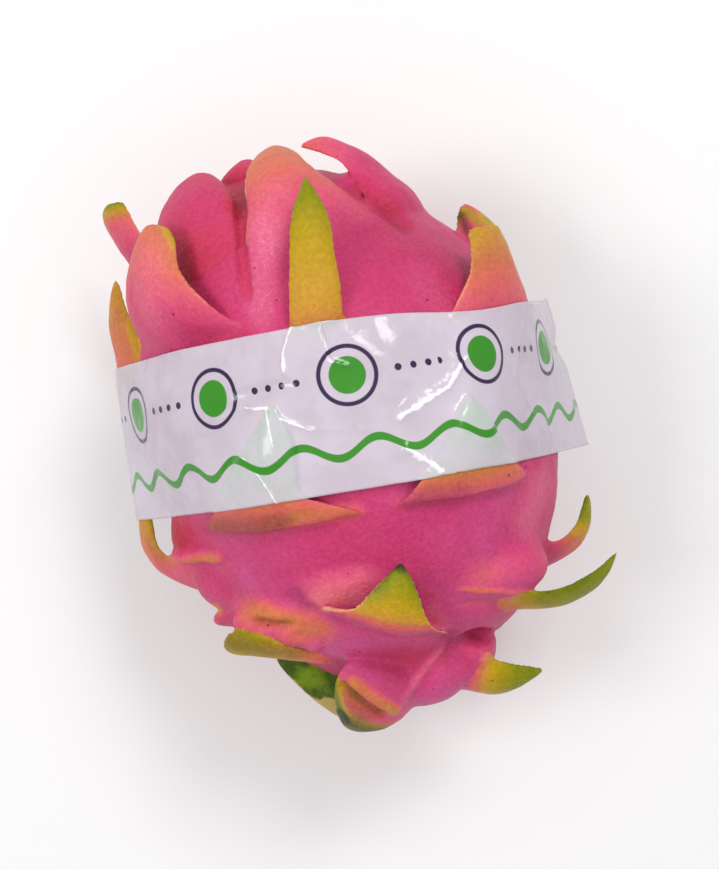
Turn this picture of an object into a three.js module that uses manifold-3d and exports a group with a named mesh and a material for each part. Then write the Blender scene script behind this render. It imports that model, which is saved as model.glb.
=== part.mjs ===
// A dragon fruit (pitahaya) lying on its back, with the stub of its stem and a band of thin film round its
// waist.
//
// Millimetres, +Z up. The fruit's long axis runs along Y: the crown is at +Y, the stem end at -Y. The side
// that shows best faces +Z. The origin is on the surface that the fruit rests on, under its axis, on the
// band's flat underside.
//
// The fruit is one solid: a turned body, slightly bent, with the fleshy scales that grow out of its rind
// joined to it. A scale is a tapering tongue given by the places of its two margins, from its base to its
// tip.

import * as THREE from 'three';
import { mergeVertices } from 'three/addons/utils/BufferGeometryUtils.js';
import Module from 'manifold-3d';

// ---- driving dimensions -----------------------------------------------------------------------------------

const AXIS_HEIGHT = 42.5;      // the body's long axis above the surface it lies on
const BODY_SEGMENTS = 32;      // round the body
const BODY_RINGS = 22;         // along the body

const BAND_LOW_END = -12.8;    // the band's edge nearer the stem, along Y
const BAND_WIDTH = 32.1;
const BAND_THICKNESS = 0.4;    // film with its trapped air; it stands for 0.1 mm film
const CLEARANCE = 0.3;         // between pieces that touch
const BAND_CREASE = [50, -7];  // x and z, from the axis, of the pressed fold that stands off the right flank
const SEAT_MARGIN = 2;         // how far the flat that seats the band runs past its edges
const GRIP_MARGIN = 0.5;       // how far past its edges the band's form still counts

const FAR = 100;               // beyond the whole fruit, for the tools that cut it

const SMALLEST_FACE = 0.05;    // joins keep no edge finer than this
const SCALE_SIDES = 8;         // points round a scale's section
const SCALE_RINGS = 6;         // steps from base to tip
const ROOT_DEPTH = 0.3;        // how far towards the axis a scale's root is buried, as a share of the way
const ROOT_FILL = 1.6;         // a scale is solid below down to where its length times this is 1
const AIM_STEP = 0.02;         // share of a scale's length over which its direction is taken

// The body: radius and sideways shift of its centre, at places along its axis.
const BODY_PROFILE = [
  { y: -57, radius: 0, shift: 0 },
  { y: -56.8, radius: 3, shift: 0 },
  { y: -54, radius: 9, shift: 2 },
  { y: -50, radius: 15.8, shift: 3.5 },
  { y: -46, radius: 22.6, shift: 4.2 },
  { y: -41, radius: 30.2, shift: 3 },
  { y: -30, radius: 35.2, shift: 3 },
  { y: -18, radius: 40, shift: 3 },
  { y: -4, radius: 43.2, shift: 1 },
  { y: 10, radius: 43.4, shift: 0 },
  { y: 20, radius: 41.2, shift: 0 },
  { y: 30, radius: 36.7, shift: -1.5 },
  { y: 39, radius: 30.7, shift: -4 },
  { y: 46, radius: 23.7, shift: -5 },
  { y: 51, radius: 15.8, shift: -6 },
  { y: 54, radius: 8.5, shift: -6 },
  { y: 54.9, radius: 3, shift: -6 },
  { y: 55.1, radius: 0, shift: -6 },
];

// The pit where the flower stood, at the crown.
const NAVEL = { x: -5, y: 57, z: -9, radius: 9, depth: 6 };

// Soft swellings of the rind: centre and the three half sizes.
const SWELLINGS = [
  { name: 'above_eave', at: [-15, -35.5, 20], size: [11, 5.5, 7.5] },
  { name: 'behind_eave', at: [-21, -35.8, 17], size: [8.2, 4, 7] },
  { name: 'above_blade', at: [25, -33.3, 18.5], size: [11, 6.5, 9] },
  { name: 'toe_base', at: [7.5, -51, 7.5], size: [10.5, 9, 9.5] },
  { name: 'heel_base', at: [16.5, -50, 6], size: [7, 6.5, 8.5] },
  { name: 'left_flank', at: [-26, -27, 6], size: [10, 7.5, 12] },
  { name: 'strap_base', at: [-31, -17, 8], size: [8.2, 8, 10] },
  { name: 'crown_right', at: [8, 45, 12], size: [8, 7.5, 8.5] },
];

// Scales on the side that faces up. Each station is [left margin, right margin, thickness], seen from outside
// with the tip pointing away, in millimetres from the axis. `arch` is how much the scale bows outwards, per
// half width. A scale that is `fromEdge` starts at a free edge that stands over the rind. The others rise out
// of it.
const UPPER_SCALES = {
  tongue: { arch: 0.24, stations: [
    [[-8.5, 15, 40], [3.5, 14.5, 40], 3],
    [[-6.5, 24, 42.5], [4, 23, 42.5], 2.2],
    [[-5, 33.5, 42], [4.5, 32, 41.5], 2],
    [[-3, 41, 41], [4, 39.5, 40.5], 1.8],
    [[-1, 44.5, 39.5], [2, 44.3, 39.5], 1.5],
    [[0.4, 46.6, 38.6], [0.9, 46.6, 38.6], 1],
  ] },
  crest: { arch: 0.38, stations: [
    [[-15.5, 24.5, 31.5], [24, 25.5, 18.5], 5],
    [[-13.5, 34.5, 31.2], [19, 34.5, 20.5], 4.5],
    [[-12.8, 43, 28], [12.5, 42, 20.5], 4],
    [[-12.3, 51, 21], [6, 49, 19.5], 3],
    [[-10, 55.5, 13.5], [2, 54.3, 14], 2.2],
    [[-7.5, 58, 6], [-1, 57.5, 7], 1.6],
  ] },
  hook: { arch: 0.3, stations: [
    [[15.5, 29, 31], [31.5, 22.5, 8], 5],
    [[12, 39, 27], [26, 39, 4], 4],
    [[9.8, 45.5, 21], [18, 47, 3.5], 3],
    [[8.8, 50.6, 17.5], [13.3, 53.5, 5], 2.4],
    [[6.2, 53.4, 15], [9.5, 56.5, 8], 2],
    [[2.8, 55.8, 13], [5, 59, 9], 1.6],
    [[0.2, 57, 11.3], [0.4, 57.4, 10.7], 0.9],
  ] },
  rear: { arch: 0.3, stations: [
    [[-22, 43, 10], [-6, 46, 16], 4],
    [[-19.5, 50, 7], [-8, 53, 10], 3],
    [[-16.5, 54, 5], [-9, 57, 5], 2],
    [[-13.5, 56.2, 4], [-10, 57.8, 4], 1.3],
  ] },
  shoulder: { arch: 0.3, stations: [
    [[-28.5, 19, 15], [-8, 17, 32.5], 4],
    [[-30, 29, 15.5], [-10, 26, 32.5], 4],
    [[-32, 39, 15], [-10.5, 35.5, 30.5], 3.8],
    [[-31, 47, 14], [-11.5, 43.5, 26], 3],
    [[-27, 52.4, 12], [-14, 48.5, 20], 2.4],
    [[-22, 55.5, 11], [-17, 54.5, 13], 1.8],
  ] },
  ear: { arch: 0.3, stations: [
    [[-39, 21.5, 14], [-11, 18.5, 39], 4],
    [[-39, 31.5, 17], [-22.5, 27, 37], 3],
    [[-37, 37.5, 20], [-26, 33.5, 35], 2.4],
    [[-34.5, 42, 22], [-25.5, 38.5, 33], 2],
    [[-31.5, 45.5, 24], [-26, 43, 29], 1.6],
  ] },
  sliver: { arch: 0.3, stations: [
    [[-46.6, 11, -10], [-38, 10, 16], 3.5],
    [[-43.4, 20.5, -6], [-37, 20, 14], 2.4],
    [[-44.8, 29, -3], [-38.5, 27.5, 12], 2],
    [[-43.5, 34, 2], [-40, 32, 9], 1.5],
    [[-41.7, 37.6, 5.6], [-41.3, 37.6, 6.4], 0.8],
  ] },
  spur: { arch: 0.25, stations: [
    [[-34, 33, -24], [-32.5, 37.5, -2], 4],
    [[-41.5, 45, -18], [-35.5, 45.5, -4], 2.6],
    [[-45, 51.5, -18], [-37.5, 51.5, -7], 2],
    [[-45.5, 56, -16], [-39, 57, -10], 1.3],
  ] },
  fin: { arch: 0.24, stations: [
    [[18, 13, 38], [43, 8, 8], 4],
    [[23.5, 18, 36.5], [40.7, 18.3, 13], 3],
    [[28, 23.5, 34.5], [39, 23.5, 17], 2.2],
    [[29, 28.5, 32.5], [37.8, 29, 20], 1.8],
    [[29.3, 32.4, 30.5], [36.4, 33.2, 22.5], 1.4],
    [[29.6, 33.2, 30], [36.3, 33.9, 22.7], 0.7],
  ] },
  peek: { arch: 0.35, stations: [
    [[29.5, 21, 9], [41, 23, -16], 4],
    [[28.5, 31.5, 7], [40.5, 33, -14], 2.4],
    [[29, 37, 3], [38, 38.5, -10], 1.8],
    [[31.6, 42.4, -2], [33, 42.4, -4], 0.8],
  ] },
  strap: { arch: 0.15, stations: [
    [[-33, -30.5, -6], [-24.5, -22, 22], 5],
    [[-41.5, -26, -8], [-33.5, -21, 14], 3],
    [[-45.5, -23, -9], [-41, -21.5, 5], 2.2],
    [[-47.5, -18, -9], [-43, -18, 1], 1.8],
    [[-47, -12.5, -8], [-43.2, -13, -1], 1.5],
    [[-45.5, -6.5, -6], [-43.8, -7, -2], 1],
  ] },
  nub: { arch: 0.2, stations: [
    [[-26, -36.5, 4], [-23, -30.5, 22], 4],
    [[-31.5, -37, 3], [-29, -31.5, 12], 2.4],
    [[-33.8, -36, 4], [-33.3, -34, 7], 1.4],
  ] },
  eave: { arch: 0.2, stations: [
    [[-10, -46.2, 14], [-11.5, -44.6, 20.5], 3],
    [[-16.4, -43.8, 14], [-17, -42.1, 24], 2.4],
    [[-23, -42.8, 13], [-21, -38.7, 25.8], 2],
    [[-28, -42.6, 12.5], [-24.6, -36.8, 25], 1.6],
    [[-30.6, -41.8, 13], [-28, -35.8, 21], 1.3],
    [[-31.5, -40, 15], [-30.6, -37.8, 17.5], 0.9],
  ] },
  lip_left: { arch: 0.24, fromEdge: true, stations: [
    [[-30.7, -17, 23.4], [4, -17.9, 40.9], 1.8],
    [[-29.8, -14.8, 25.3], [-1.5, -15, 42.2], 1.8],
    [[-28, -12.2, 30], [-7.5, -12.8, 42.3], 1.8],
    [[-26.5, -10, 33], [-10, -11, 42.4], 1.8],
    [[-21, -4, 39.8], [-8.5, -4.5, 43.8], 1.6],
    [[-16, 1.5, 41.9], [-10, 1.5, 43.9], 1.4],
    [[-12.4, 6, 43.5], [-11.8, 6, 43.7], 0.8],
  ] },
  lip_right: { arch: 0.24, fromEdge: true, stations: [
    [[4.8, -17.2, 41], [34.2, -16.8, 26], 1.8],
    [[9.5, -15, 42], [34.2, -14.8, 27.5], 1.8],
    [[11.5, -13, 42], [32.5, -12.8, 30.3], 1.8],
    [[14, -11.4, 42], [30, -11.2, 33.4], 1.8],
    [[16.5, -7.5, 41.8], [29, -7.2, 36], 1.6],
    [[20, -3, 41.4], [27, -3, 37.5], 1.4],
    [[23.5, 1.5, 39.5], [24.1, 1.5, 39.2], 0.8],
  ] },
  peak: { arch: 0.2, fromEdge: true, stations: [
    [[-12, -33.8, 30.5], [14.4, -44.2, 25.5], 3.2],
    [[-10.5, -33.3, 32.6], [14, -42.5, 31], 3],
    [[-4, -35.3, 38.6], [10.3, -41.3, 37.5], 2.4],
    [[1, -31.3, 40.5], [9, -34, 40.5], 1.8],
    [[6.2, -26.6, 41.2], [6.8, -26.6, 41.2], 0.9],
  ] },
  whisker: { arch: 0.25, stations: [
    [[35, -29, 6], [35.5, -37, -12], 4],
    [[38.5, -31.5, 4.5], [40, -34.5, -7], 2.2],
    [[42, -30.2, 3.5], [45.5, -33.6, -6], 1.5],
    [[45.2, -27, 1.5], [48.4, -28, -5], 1.2],
    [[48.1, -22.5, -2.6], [48.4, -22.5, -3.3], 0.7],
  ] },
  blade: { arch: 0.2, stations: [
    [[19.4, -36.2, 25], [25, -41.5, 9], 3],
    [[26, -37.2, 24], [30.5, -41.5, 9], 2.4],
    [[32.7, -39, 21.5], [35, -43, 10], 1.8],
    [[38.5, -38.9, 20], [41, -43, 11.5], 1.6],
    [[44, -37, 18.5], [47, -40, 13], 1.4],
    [[50.2, -33.6, 15.3], [50.4, -34, 14.7], 0.8],
  ] },
  heel: { arch: 0.3, stations: [
    [[13, -46.5, 14], [12.5, -58.5, -2], 5],
    [[19, -48.5, 13.5], [16, -57.5, 1], 4],
    [[21.8, -52, 13], [20, -60, 4], 2.8],
    [[26.5, -53.3, 12], [25, -60.7, 6], 1.9],
    [[32.3, -55.8, 9.3], [32.5, -56.2, 8.7], 0.8],
  ] },
  toe: { arch: 0.35, stations: [
    [[7, -57, 7], [-7.3, -45.5, 23.5], 6],
    [[3.5, -60.5, 8.5], [-10, -48, 20], 4],
    [[-1, -63.3, 6], [-11.5, -52.5, 14], 3],
    [[-6.5, -63.7, 3.5], [-11.8, -57, 8], 2],
    [[-10.2, -61.8, 4.3], [-10.8, -60.4, 5.3], 1],
  ] },
};

// Scales on the side that lies down and on the far flanks. `azimuth` turns from +Z towards +X, `lift` is how
// far the tip stands off the rind.
const UNDER_SCALES = [
  { azimuth: 112, base: 2, halfWidth: 12, length: 34, lift: 2.5, thickness: 3.5 },
  { azimuth: 132, base: -24, halfWidth: 13, length: 26, lift: 3, thickness: 3.5 },
  { azimuth: 158, base: 22, halfWidth: 12, length: 26, lift: 3, thickness: 3 },
  { azimuth: 176, base: -28, halfWidth: 13, length: 22, lift: 1.5, thickness: 3 },
  { azimuth: 206, base: 20, halfWidth: 12, length: 28, lift: 3, thickness: 3 },
  { azimuth: 222, base: -22, halfWidth: 13, length: 28, lift: 3, thickness: 3.5 },
  { azimuth: 242, base: 6, halfWidth: 12, length: 32, lift: 3, thickness: 3.5 },
  { azimuth: 258, base: -30, halfWidth: 11, length: 22, lift: 1, thickness: 3.5 },
  { azimuth: 96, base: 26, halfWidth: 12, length: 30, lift: 3, thickness: 3.5 },
  { azimuth: 128, base: 26, halfWidth: 11, length: 24, lift: 3, thickness: 3 },
  { azimuth: 236, base: 26, halfWidth: 12, length: 26, lift: 3, thickness: 3 },
  { azimuth: 180, base: 30, halfWidth: 11, length: 20, lift: 2.5, thickness: 3 },
  { azimuth: 110, base: -46, halfWidth: 11, length: 18, lift: 2, thickness: 3 },
  { azimuth: 155, base: -45, halfWidth: 12, length: 20, lift: 8, thickness: 3.5 },
  { azimuth: 208, base: -45, halfWidth: 12, length: 20, lift: 8, thickness: 3.5 },
];
const UNDER = {
  stations: [0, 0.35, 0.7, 1],  // shares of a scale's length
  arch: 0.12,
  sunk: 0.5,                    // how deep its margins lie in the rind at the base
  taper: 1.7,                   // power by which it narrows towards the tip
  leastHalfWidth: 0.4,
  widestTurn: 1.2,              // radians round the body to each side
  thinning: 0.7,                // share of the thickness that is lost at the tip
  lastPlace: 50,                // the body's last full section, along Y
};

// The stem's stub: a cut piece of the three-ribbed green stem, pressed against the stem end. Each step is a
// place along it and the radius of its ribs there. `waist` is the radius between the ribs, as a share.
const STUB = {
  at: [-13.4, -48.1, 1],
  direction: [0.58, -0.81, 0],
  steps: [[-9, 6], [-4, 6.8], [3, 6.8], [9, 6], [13, 4.8], [14, 3.9]],
  waist: 0.63,
  ribs: 3,
  sides: 24,
  rings: 10,
};

const FINISHES = {
  rind: { color: 0xd3487c, roughness: 0.45, metalness: 0 },
  stem: { color: 0x4c6406, roughness: 0.5, metalness: 0 },
  film: { color: 0xdfd3e4, roughness: 0.2, metalness: 0 },
};

// ---- solids -----------------------------------------------------------------------------------------------

const wasm = await Module();
wasm.setup();

function toSolid(geometry) {
  const plain = geometry.index ? geometry.clone() : geometry;
  plain.deleteAttribute('normal');
  plain.deleteAttribute('uv');
  const merged = mergeVertices(plain, 1e-3);
  const mesh = new wasm.Mesh({
    numProp: 3,
    vertProperties: new Float32Array(merged.attributes.position.array),
    triVerts: new Uint32Array(merged.index.array),
  });
  return new wasm.Manifold(mesh);
}

function toGeometry(solid) {
  const mesh = solid.getMesh();
  const geometry = new THREE.BufferGeometry();
  geometry.setAttribute('position', new THREE.BufferAttribute(mesh.vertProperties, 3));
  geometry.setIndex(new THREE.BufferAttribute(mesh.triVerts, 1));
  geometry.computeVertexNormals();
  return geometry;
}

// The outer skin of a solid: pockets sealed between a scale and the body are filled.
function withoutPockets(solid) {
  const shells = solid.simplify(SMALLEST_FACE).decompose();
  return shells.reduce((largest, shell) => (shell.volume() > largest.volume() ? shell : largest));
}

function box(low, high) {
  const size = new THREE.Vector3().subVectors(high, low);
  const middle = new THREE.Vector3().addVectors(low, high).multiplyScalar(0.5);
  return new THREE.BoxGeometry(size.x, size.y, size.z).translate(middle.x, middle.y, middle.z);
}

// ---- the body ---------------------------------------------------------------------------------------------

const bodyRadii = new THREE.CatmullRomCurve3(
  BODY_PROFILE.map((p) => new THREE.Vector3(p.shift, p.y, p.radius)), false, 'centripetal');
const bodySteps = bodyRadii.getPoints(200);

// The body's radius and centre at a place along its axis.
function bodyAt(y) {
  const next = bodySteps.findIndex((p) => p.y >= y);
  if (next < 1) return { radius: 0, shift: bodySteps.at(next).x };
  const [a, b] = [bodySteps[next - 1], bodySteps[next]];
  const share = (y - a.y) / (b.y - a.y);
  return { radius: THREE.MathUtils.lerp(a.z, b.z, share), shift: THREE.MathUtils.lerp(a.x, b.x, share) };
}

function bodyGeometry() {
  const geometry = new THREE.SphereGeometry(1, BODY_SEGMENTS, BODY_RINGS);
  const place = geometry.attributes.position;
  const low = BODY_PROFILE[0].y;
  const high = BODY_PROFILE.at(-1).y;
  for (let i = 0; i < place.count; i += 1) {
    const [x, y, z] = [place.getX(i), place.getY(i), place.getZ(i)];
    const along = THREE.MathUtils.mapLinear(y, -1, 1, low, high);
    const girth = Math.hypot(x, z);
    const { radius, shift } = bodyAt(along);
    const scale = girth > 1e-6 ? radius / girth : 0;
    place.setXYZ(i, shift + x * scale, along, z * scale);
  }
  return geometry;
}

function swelling({ at, size }) {
  return new THREE.SphereGeometry(1, 16, 10).scale(...size).translate(...at);
}

// ---- scales -----------------------------------------------------------------------------------------------

// Moves a margin towards the body's axis, to bury the scale's root in the flesh.
function buried(margin) {
  const point = new THREE.Vector3(...margin);
  const axis = new THREE.Vector3(bodyAt(point.y).shift, point.y, 0);
  return point.lerp(axis, ROOT_DEPTH);
}

// A closed tongue that follows two margins. A unit cylinder is bent to it: its height runs from base to tip,
// and its section becomes a lens that bows outwards, solid below near the base and thin at the tip.
function scaleGeometry({ arch, stations, fromEdge = false }) {
  const left = [buried(stations[0][0]), ...stations.map((s) => new THREE.Vector3(...s[0]))];
  const right = [buried(stations[0][1]), ...stations.map((s) => new THREE.Vector3(...s[1]))];
  const thickness = [stations[0][2], ...stations.map((s) => s[2])];
  const leftCurve = new THREE.CatmullRomCurve3(left, false, 'centripetal');
  const rightCurve = new THREE.CatmullRomCurve3(right, false, 'centripetal');
  const geometry = new THREE.CylinderGeometry(1, 1, 1, SCALE_SIDES, SCALE_RINGS);
  const place = geometry.attributes.position;
  for (let i = 0; i < place.count; i += 1) {
    const along = place.getY(i) + 0.5;
    const a = leftCurve.getPoint(along);
    const b = rightCurve.getPoint(along);
    const ahead = Math.min(along + AIM_STEP, 1);
    const behind = Math.max(along - AIM_STEP, 0);
    const running = leftCurve.getPoint(ahead).add(rightCurve.getPoint(ahead))
      .sub(leftCurve.getPoint(behind)).sub(rightCurve.getPoint(behind)).normalize();
    const atEdge = fromEdge && along < 1.5 / stations.length;
    const forward = atEdge ? new THREE.Vector3(0, 1, 0) : running;
    const across = new THREE.Vector3().subVectors(b, a);
    const halfWidth = across.length() / 2;
    const outward = new THREE.Vector3().crossVectors(across, forward).normalize();
    const slot = along * (thickness.length - 1);
    const lower = Math.min(Math.floor(slot), thickness.length - 2);
    const thick = THREE.MathUtils.lerp(thickness[lower], thickness[lower + 1], slot - lower);
    const sideways = place.getX(i);
    const up = place.getZ(i);
    const bow = arch * halfWidth * (1 - sideways * sideways);
    const fill = Math.max(0, 1 - ROOT_FILL * along);
    const bowHere = up >= 0 ? bow : bow * (1 - fill);
    const middle = new THREE.Vector3().addVectors(a, b).multiplyScalar(0.5);
    const point = middle.addScaledVector(across.normalize(), sideways * halfWidth)
      .addScaledVector(outward, bowHere + up * thick / 2);
    place.setXYZ(i, point.x, point.y, point.z);
  }
  return geometry;
}

// Stations of a scale that lies against the rind at an azimuth.
function underScale({ azimuth, base, halfWidth, length, lift, thickness }) {
  const turn = THREE.MathUtils.degToRad(azimuth);
  const stations = UNDER.stations.map((share) => {
    const y = base + length * share;
    const { radius, shift } = bodyAt(Math.min(y, UNDER.lastPlace));
    const reach = radius + lift * share * share - UNDER.sunk;
    const width = Math.max(halfWidth * (1 - share ** UNDER.taper), UNDER.leastHalfWidth);
    const margin = (side) => {
      const angle = turn - side * Math.min(width / reach, UNDER.widestTurn);
      return [shift + reach * Math.sin(angle), y, reach * Math.cos(angle)];
    };
    return [margin(1), margin(-1), thickness * (1 - UNDER.thinning * share)];
  });
  return { arch: UNDER.arch, stations };
}

// ---- the stem's stub --------------------------------------------------------------------------------------

// The ribs' radius at a place along the stub.
function ribRadius(away) {
  const next = Math.max(1, STUB.steps.findIndex(([place]) => place >= away));
  const [a, b] = [STUB.steps[next - 1], STUB.steps[next]];
  return THREE.MathUtils.mapLinear(away, a[0], b[0], a[1], b[1]);
}

// A closed stub, grown on all sides by a distance. A unit cylinder is stretched to its steps and drawn in
// between ribs.
function stubGeometry(grown) {
  const geometry = new THREE.CylinderGeometry(1, 1, 1, STUB.sides, STUB.rings);
  const place = geometry.attributes.position;
  const low = STUB.steps[0][0];
  const high = STUB.steps.at(-1)[0];
  for (let i = 0; i < place.count; i += 1) {
    const [x, z] = [place.getX(i), place.getZ(i)];
    const away = THREE.MathUtils.mapLinear(place.getY(i), -0.5, 0.5, low, high);
    const nearRib = Math.abs(Math.cos(Math.atan2(z, x) * STUB.ribs / 2)) ** 2;
    const radius = ribRadius(away) * THREE.MathUtils.lerp(STUB.waist, 1, nearRib) + grown;
    const past = THREE.MathUtils.mapLinear(away, low, high, -grown, grown);
    place.setXYZ(i, x * radius, away + past, z * radius);
  }
  const along = new THREE.Vector3(...STUB.direction).normalize();
  const up = new THREE.Vector3(0, 0, 1);
  const frame = new THREE.Matrix4().makeBasis(up, along, new THREE.Vector3().crossVectors(up, along));
  return geometry.applyMatrix4(frame).translate(...STUB.at);
}

// ---- the pieces -------------------------------------------------------------------------------------------

function fruitSolid() {
  const geometries = [
    bodyGeometry(),
    ...SWELLINGS.map(swelling),
    ...Object.values(UPPER_SCALES).map(scaleGeometry),
    ...UNDER_SCALES.map(underScale).map(scaleGeometry),
  ];
  const whole = wasm.Manifold.union(geometries.map(toSolid)).translate([0, 0, AXIS_HEIGHT]);
  const floor = toSolid(box(new THREE.Vector3(-FAR, -FAR, -FAR), new THREE.Vector3(FAR, FAR, 0)));
  const seat = toSolid(box(
    new THREE.Vector3(-FAR, BAND_LOW_END - SEAT_MARGIN, -FAR),
    new THREE.Vector3(FAR, BAND_LOW_END + BAND_WIDTH + SEAT_MARGIN, BAND_THICKNESS + CLEARANCE)));
  const navel = toSolid(new THREE.SphereGeometry(1, 16, 10)
    .scale(NAVEL.radius, NAVEL.depth, NAVEL.radius).translate(NAVEL.x, NAVEL.y, NAVEL.z + AXIS_HEIGHT));
  const socket = toSolid(stubGeometry(CLEARANCE)).translate([0, 0, AXIS_HEIGHT]);
  return withoutPockets(whole.subtract(floor).subtract(seat).subtract(navel).subtract(socket));
}

// The convex outline round a set of points, anticlockwise.
function hull(points) {
  const sorted = [...points].sort((a, b) => a.x - b.x || a.y - b.y);
  const half = (list) => list.reduce((chain, p) => {
    while (chain.length > 1) {
      const [a, b] = chain.slice(-2);
      if ((b.x - a.x) * (p.y - a.y) - (b.y - a.y) * (p.x - a.x) > 1e-6) break;
      chain.pop();
    }
    chain.push(p);
    return chain;
  }, []);
  return [...half(sorted).slice(0, -1), ...half(sorted.reverse()).slice(0, -1)];
}

// A convex outline moved outwards by a distance.
function widened(outline, distance) {
  const directions = 8;
  const around = outline.flatMap((p) => Array.from({ length: directions }, (_, i) => {
    const angle = (i / directions) * 2 * Math.PI;
    return new THREE.Vector2(p.x + distance * Math.cos(angle), p.y + distance * Math.sin(angle));
  }));
  return hull(around);
}

// The band is pulled tight over all that stands proud inside its width, so its section is the hull of what it
// holds.
function bandGeometry(fruit) {
  const slab = toSolid(box(
    new THREE.Vector3(-FAR, BAND_LOW_END - GRIP_MARGIN, -FAR),
    new THREE.Vector3(FAR, BAND_LOW_END + BAND_WIDTH + GRIP_MARGIN, FAR)));
  const held = fruit.intersect(slab).getMesh().vertProperties;
  const points = [new THREE.Vector2(BAND_CREASE[0], BAND_CREASE[1] + AXIS_HEIGHT)];
  for (let i = 0; i < held.length; i += 3) {
    points.push(new THREE.Vector2(held[i], held[i + 2]));
  }
  const inside = widened(hull(points), CLEARANCE);
  const outside = widened(inside, BAND_THICKNESS);
  const shape = new THREE.Shape(outside);
  shape.holes.push(new THREE.Path(inside.reverse()));
  return new THREE.ExtrudeGeometry(shape, { depth: BAND_WIDTH, bevelEnabled: false })
    .rotateX(Math.PI / 2).translate(0, BAND_LOW_END + BAND_WIDTH, 0);
}

function piece(name, geometry, finish) {
  const mesh = new THREE.Mesh(geometry, new THREE.MeshStandardMaterial(finish));
  mesh.name = name;
  return mesh;
}

const fruit = fruitSolid();
const stub = toSolid(stubGeometry(0)).translate([0, 0, AXIS_HEIGHT]);

const dragonFruit = new THREE.Group();
dragonFruit.add(piece('fruit', toGeometry(fruit), FINISHES.rind));
dragonFruit.add(piece('stem_stub', toGeometry(stub), FINISHES.stem));
dragonFruit.add(piece('film_band', bandGeometry(fruit), FINISHES.film));

export default dragonFruit;
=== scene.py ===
"""The looks of a dragon fruit that lies on its back, with its stem's stub and a band of film round its waist.

The fruit's rind is modelled as by hand: rings are placed along the body and along each fleshy scale, bridged into
closed tongues, joined and fused to one skin, and relaxed where a scale grows out of the body. Lengths are in
millimetres in the tables and in metres in the scene. The tables take the fruit's long axis as z = 0, and what is made
from them is lifted to the axis height.
"""

import logging
import math
from collections.abc import Iterator
from contextlib import contextmanager
from dataclasses import dataclass, field
from enum import Enum
from functools import cached_property

import bmesh
import bpy
import numpy as np
from mathutils import Matrix, Vector
from mathutils.bvhtree import BVHTree


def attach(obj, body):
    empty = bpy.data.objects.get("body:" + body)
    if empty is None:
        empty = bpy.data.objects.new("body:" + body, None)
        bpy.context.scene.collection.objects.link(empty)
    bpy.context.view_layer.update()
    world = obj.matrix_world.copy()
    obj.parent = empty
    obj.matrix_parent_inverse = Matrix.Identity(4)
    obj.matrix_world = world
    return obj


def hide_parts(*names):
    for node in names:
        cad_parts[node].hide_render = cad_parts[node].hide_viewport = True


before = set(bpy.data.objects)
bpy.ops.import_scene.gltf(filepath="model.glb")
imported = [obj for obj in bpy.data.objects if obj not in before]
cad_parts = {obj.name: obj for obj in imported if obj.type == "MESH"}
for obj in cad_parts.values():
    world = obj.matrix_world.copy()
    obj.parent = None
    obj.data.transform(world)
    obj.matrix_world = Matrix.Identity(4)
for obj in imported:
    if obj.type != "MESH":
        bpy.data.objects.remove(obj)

log = logging.getLogger("dragon_fruit")

MM = 0.001
AXIS_HEIGHT = 42.5  # of the fruit's long axis above the table
GROWTH = "growth"  # the attribute that holds how ripe the skin is
BODY_TONE_AT = 0.23  # where the body's own colour stands on a run of colours by ripeness

Point = tuple[float, float, float]
Span = tuple[float, float]
Colour = tuple[float, float, float, float]
Growth = tuple[float, float, float, float]  # tone, inner face, margin line, and share of length, later the bloom with painted light and shade
Thing = bpy.types.Object
Socket = bpy.types.NodeSocket


def placed(point: Point) -> Vector:
    """Turns a point of the fruit's own frame, in millimetres, into one of the scene, in metres.

    Args:
        point: x to the right, y to the crown, z up from the fruit's long axis.

    Returns:
        The same point in the shared frame.
    """
    x, y, z = point
    return Vector((x, y, z + AXIS_HEIGHT)) * MM


def srgb(red: int, green: int, blue: int) -> Colour:
    """Turns a display colour of 0 to 255 a channel into a linear one with full alpha.

    Args:
        red: The red channel.
        green: The green channel.
        blue: The blue channel.

    Returns:
        The linear colour.
    """
    def linear(value: int) -> float:
        """Turns one channel of 0 to 255 into a linear share."""
        share = value / 255
        return share / 12.92 if share <= 0.04045 else ((share + 0.055) / 1.055) ** 2.4

    return (linear(red), linear(green), linear(blue), 1.0)


class Slot(Enum):
    """The finishes that the object's parts are made in."""

    RIND = "rind"
    STEM = "stem"
    FILM = "film"


# ---- measures --------------------------------------------------------------------------------------------------


@dataclass(frozen=True)
class Ripening:
    """How a scale ripens and rises: 0 is the body's magenta, 0.3 salmon, 0.55 gold, 0.8 yellow-green and 1 dark tip.

    Attributes:
        base: Tone at the scale's base. Below 0 it turns to crimson.
        tip: Tone at its tip.
        start: Share of the length at which the tone begins to change.
        finish: Share of the length at which it has changed.
        edge: Tone added towards the margins.
        line: How plain the pale line along its margins is.
        ramp: Whether its outer face rises out of the rind. Where it doesn't, it starts at an edge.
    """

    base: float = 0.0
    tip: float = 0.8
    start: float = 0.3
    finish: float = 1.0
    edge: float = 0.15
    line: float = 0.6
    ramp: bool = True


@dataclass(frozen=True)
class Station:
    """One place along a scale: its two margins in millimetres, and its thickness."""

    left: Point
    right: Point
    thickness: float


@dataclass(frozen=True)
class Scale:
    """A fleshy tongue that grows out of the rind.

    Attributes:
        name: What the maker calls it.
        arch: How much it bows outwards, per half width.
        colour: How its colour runs from base to tip.
        stations: Its margins, seen from outside with the tip pointing away, from base to tip.
    """

    name: str
    arch: float
    colour: Ripening
    stations: tuple[Station, ...]


def scale(name: str, arch: float, colour: Ripening, *stations: tuple[Point, Point, float]) -> Scale:
    """Makes a scale from plain stations of left margin, right margin and thickness."""
    return Scale(name, arch, colour, tuple(Station(*s) for s in stations))


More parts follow.
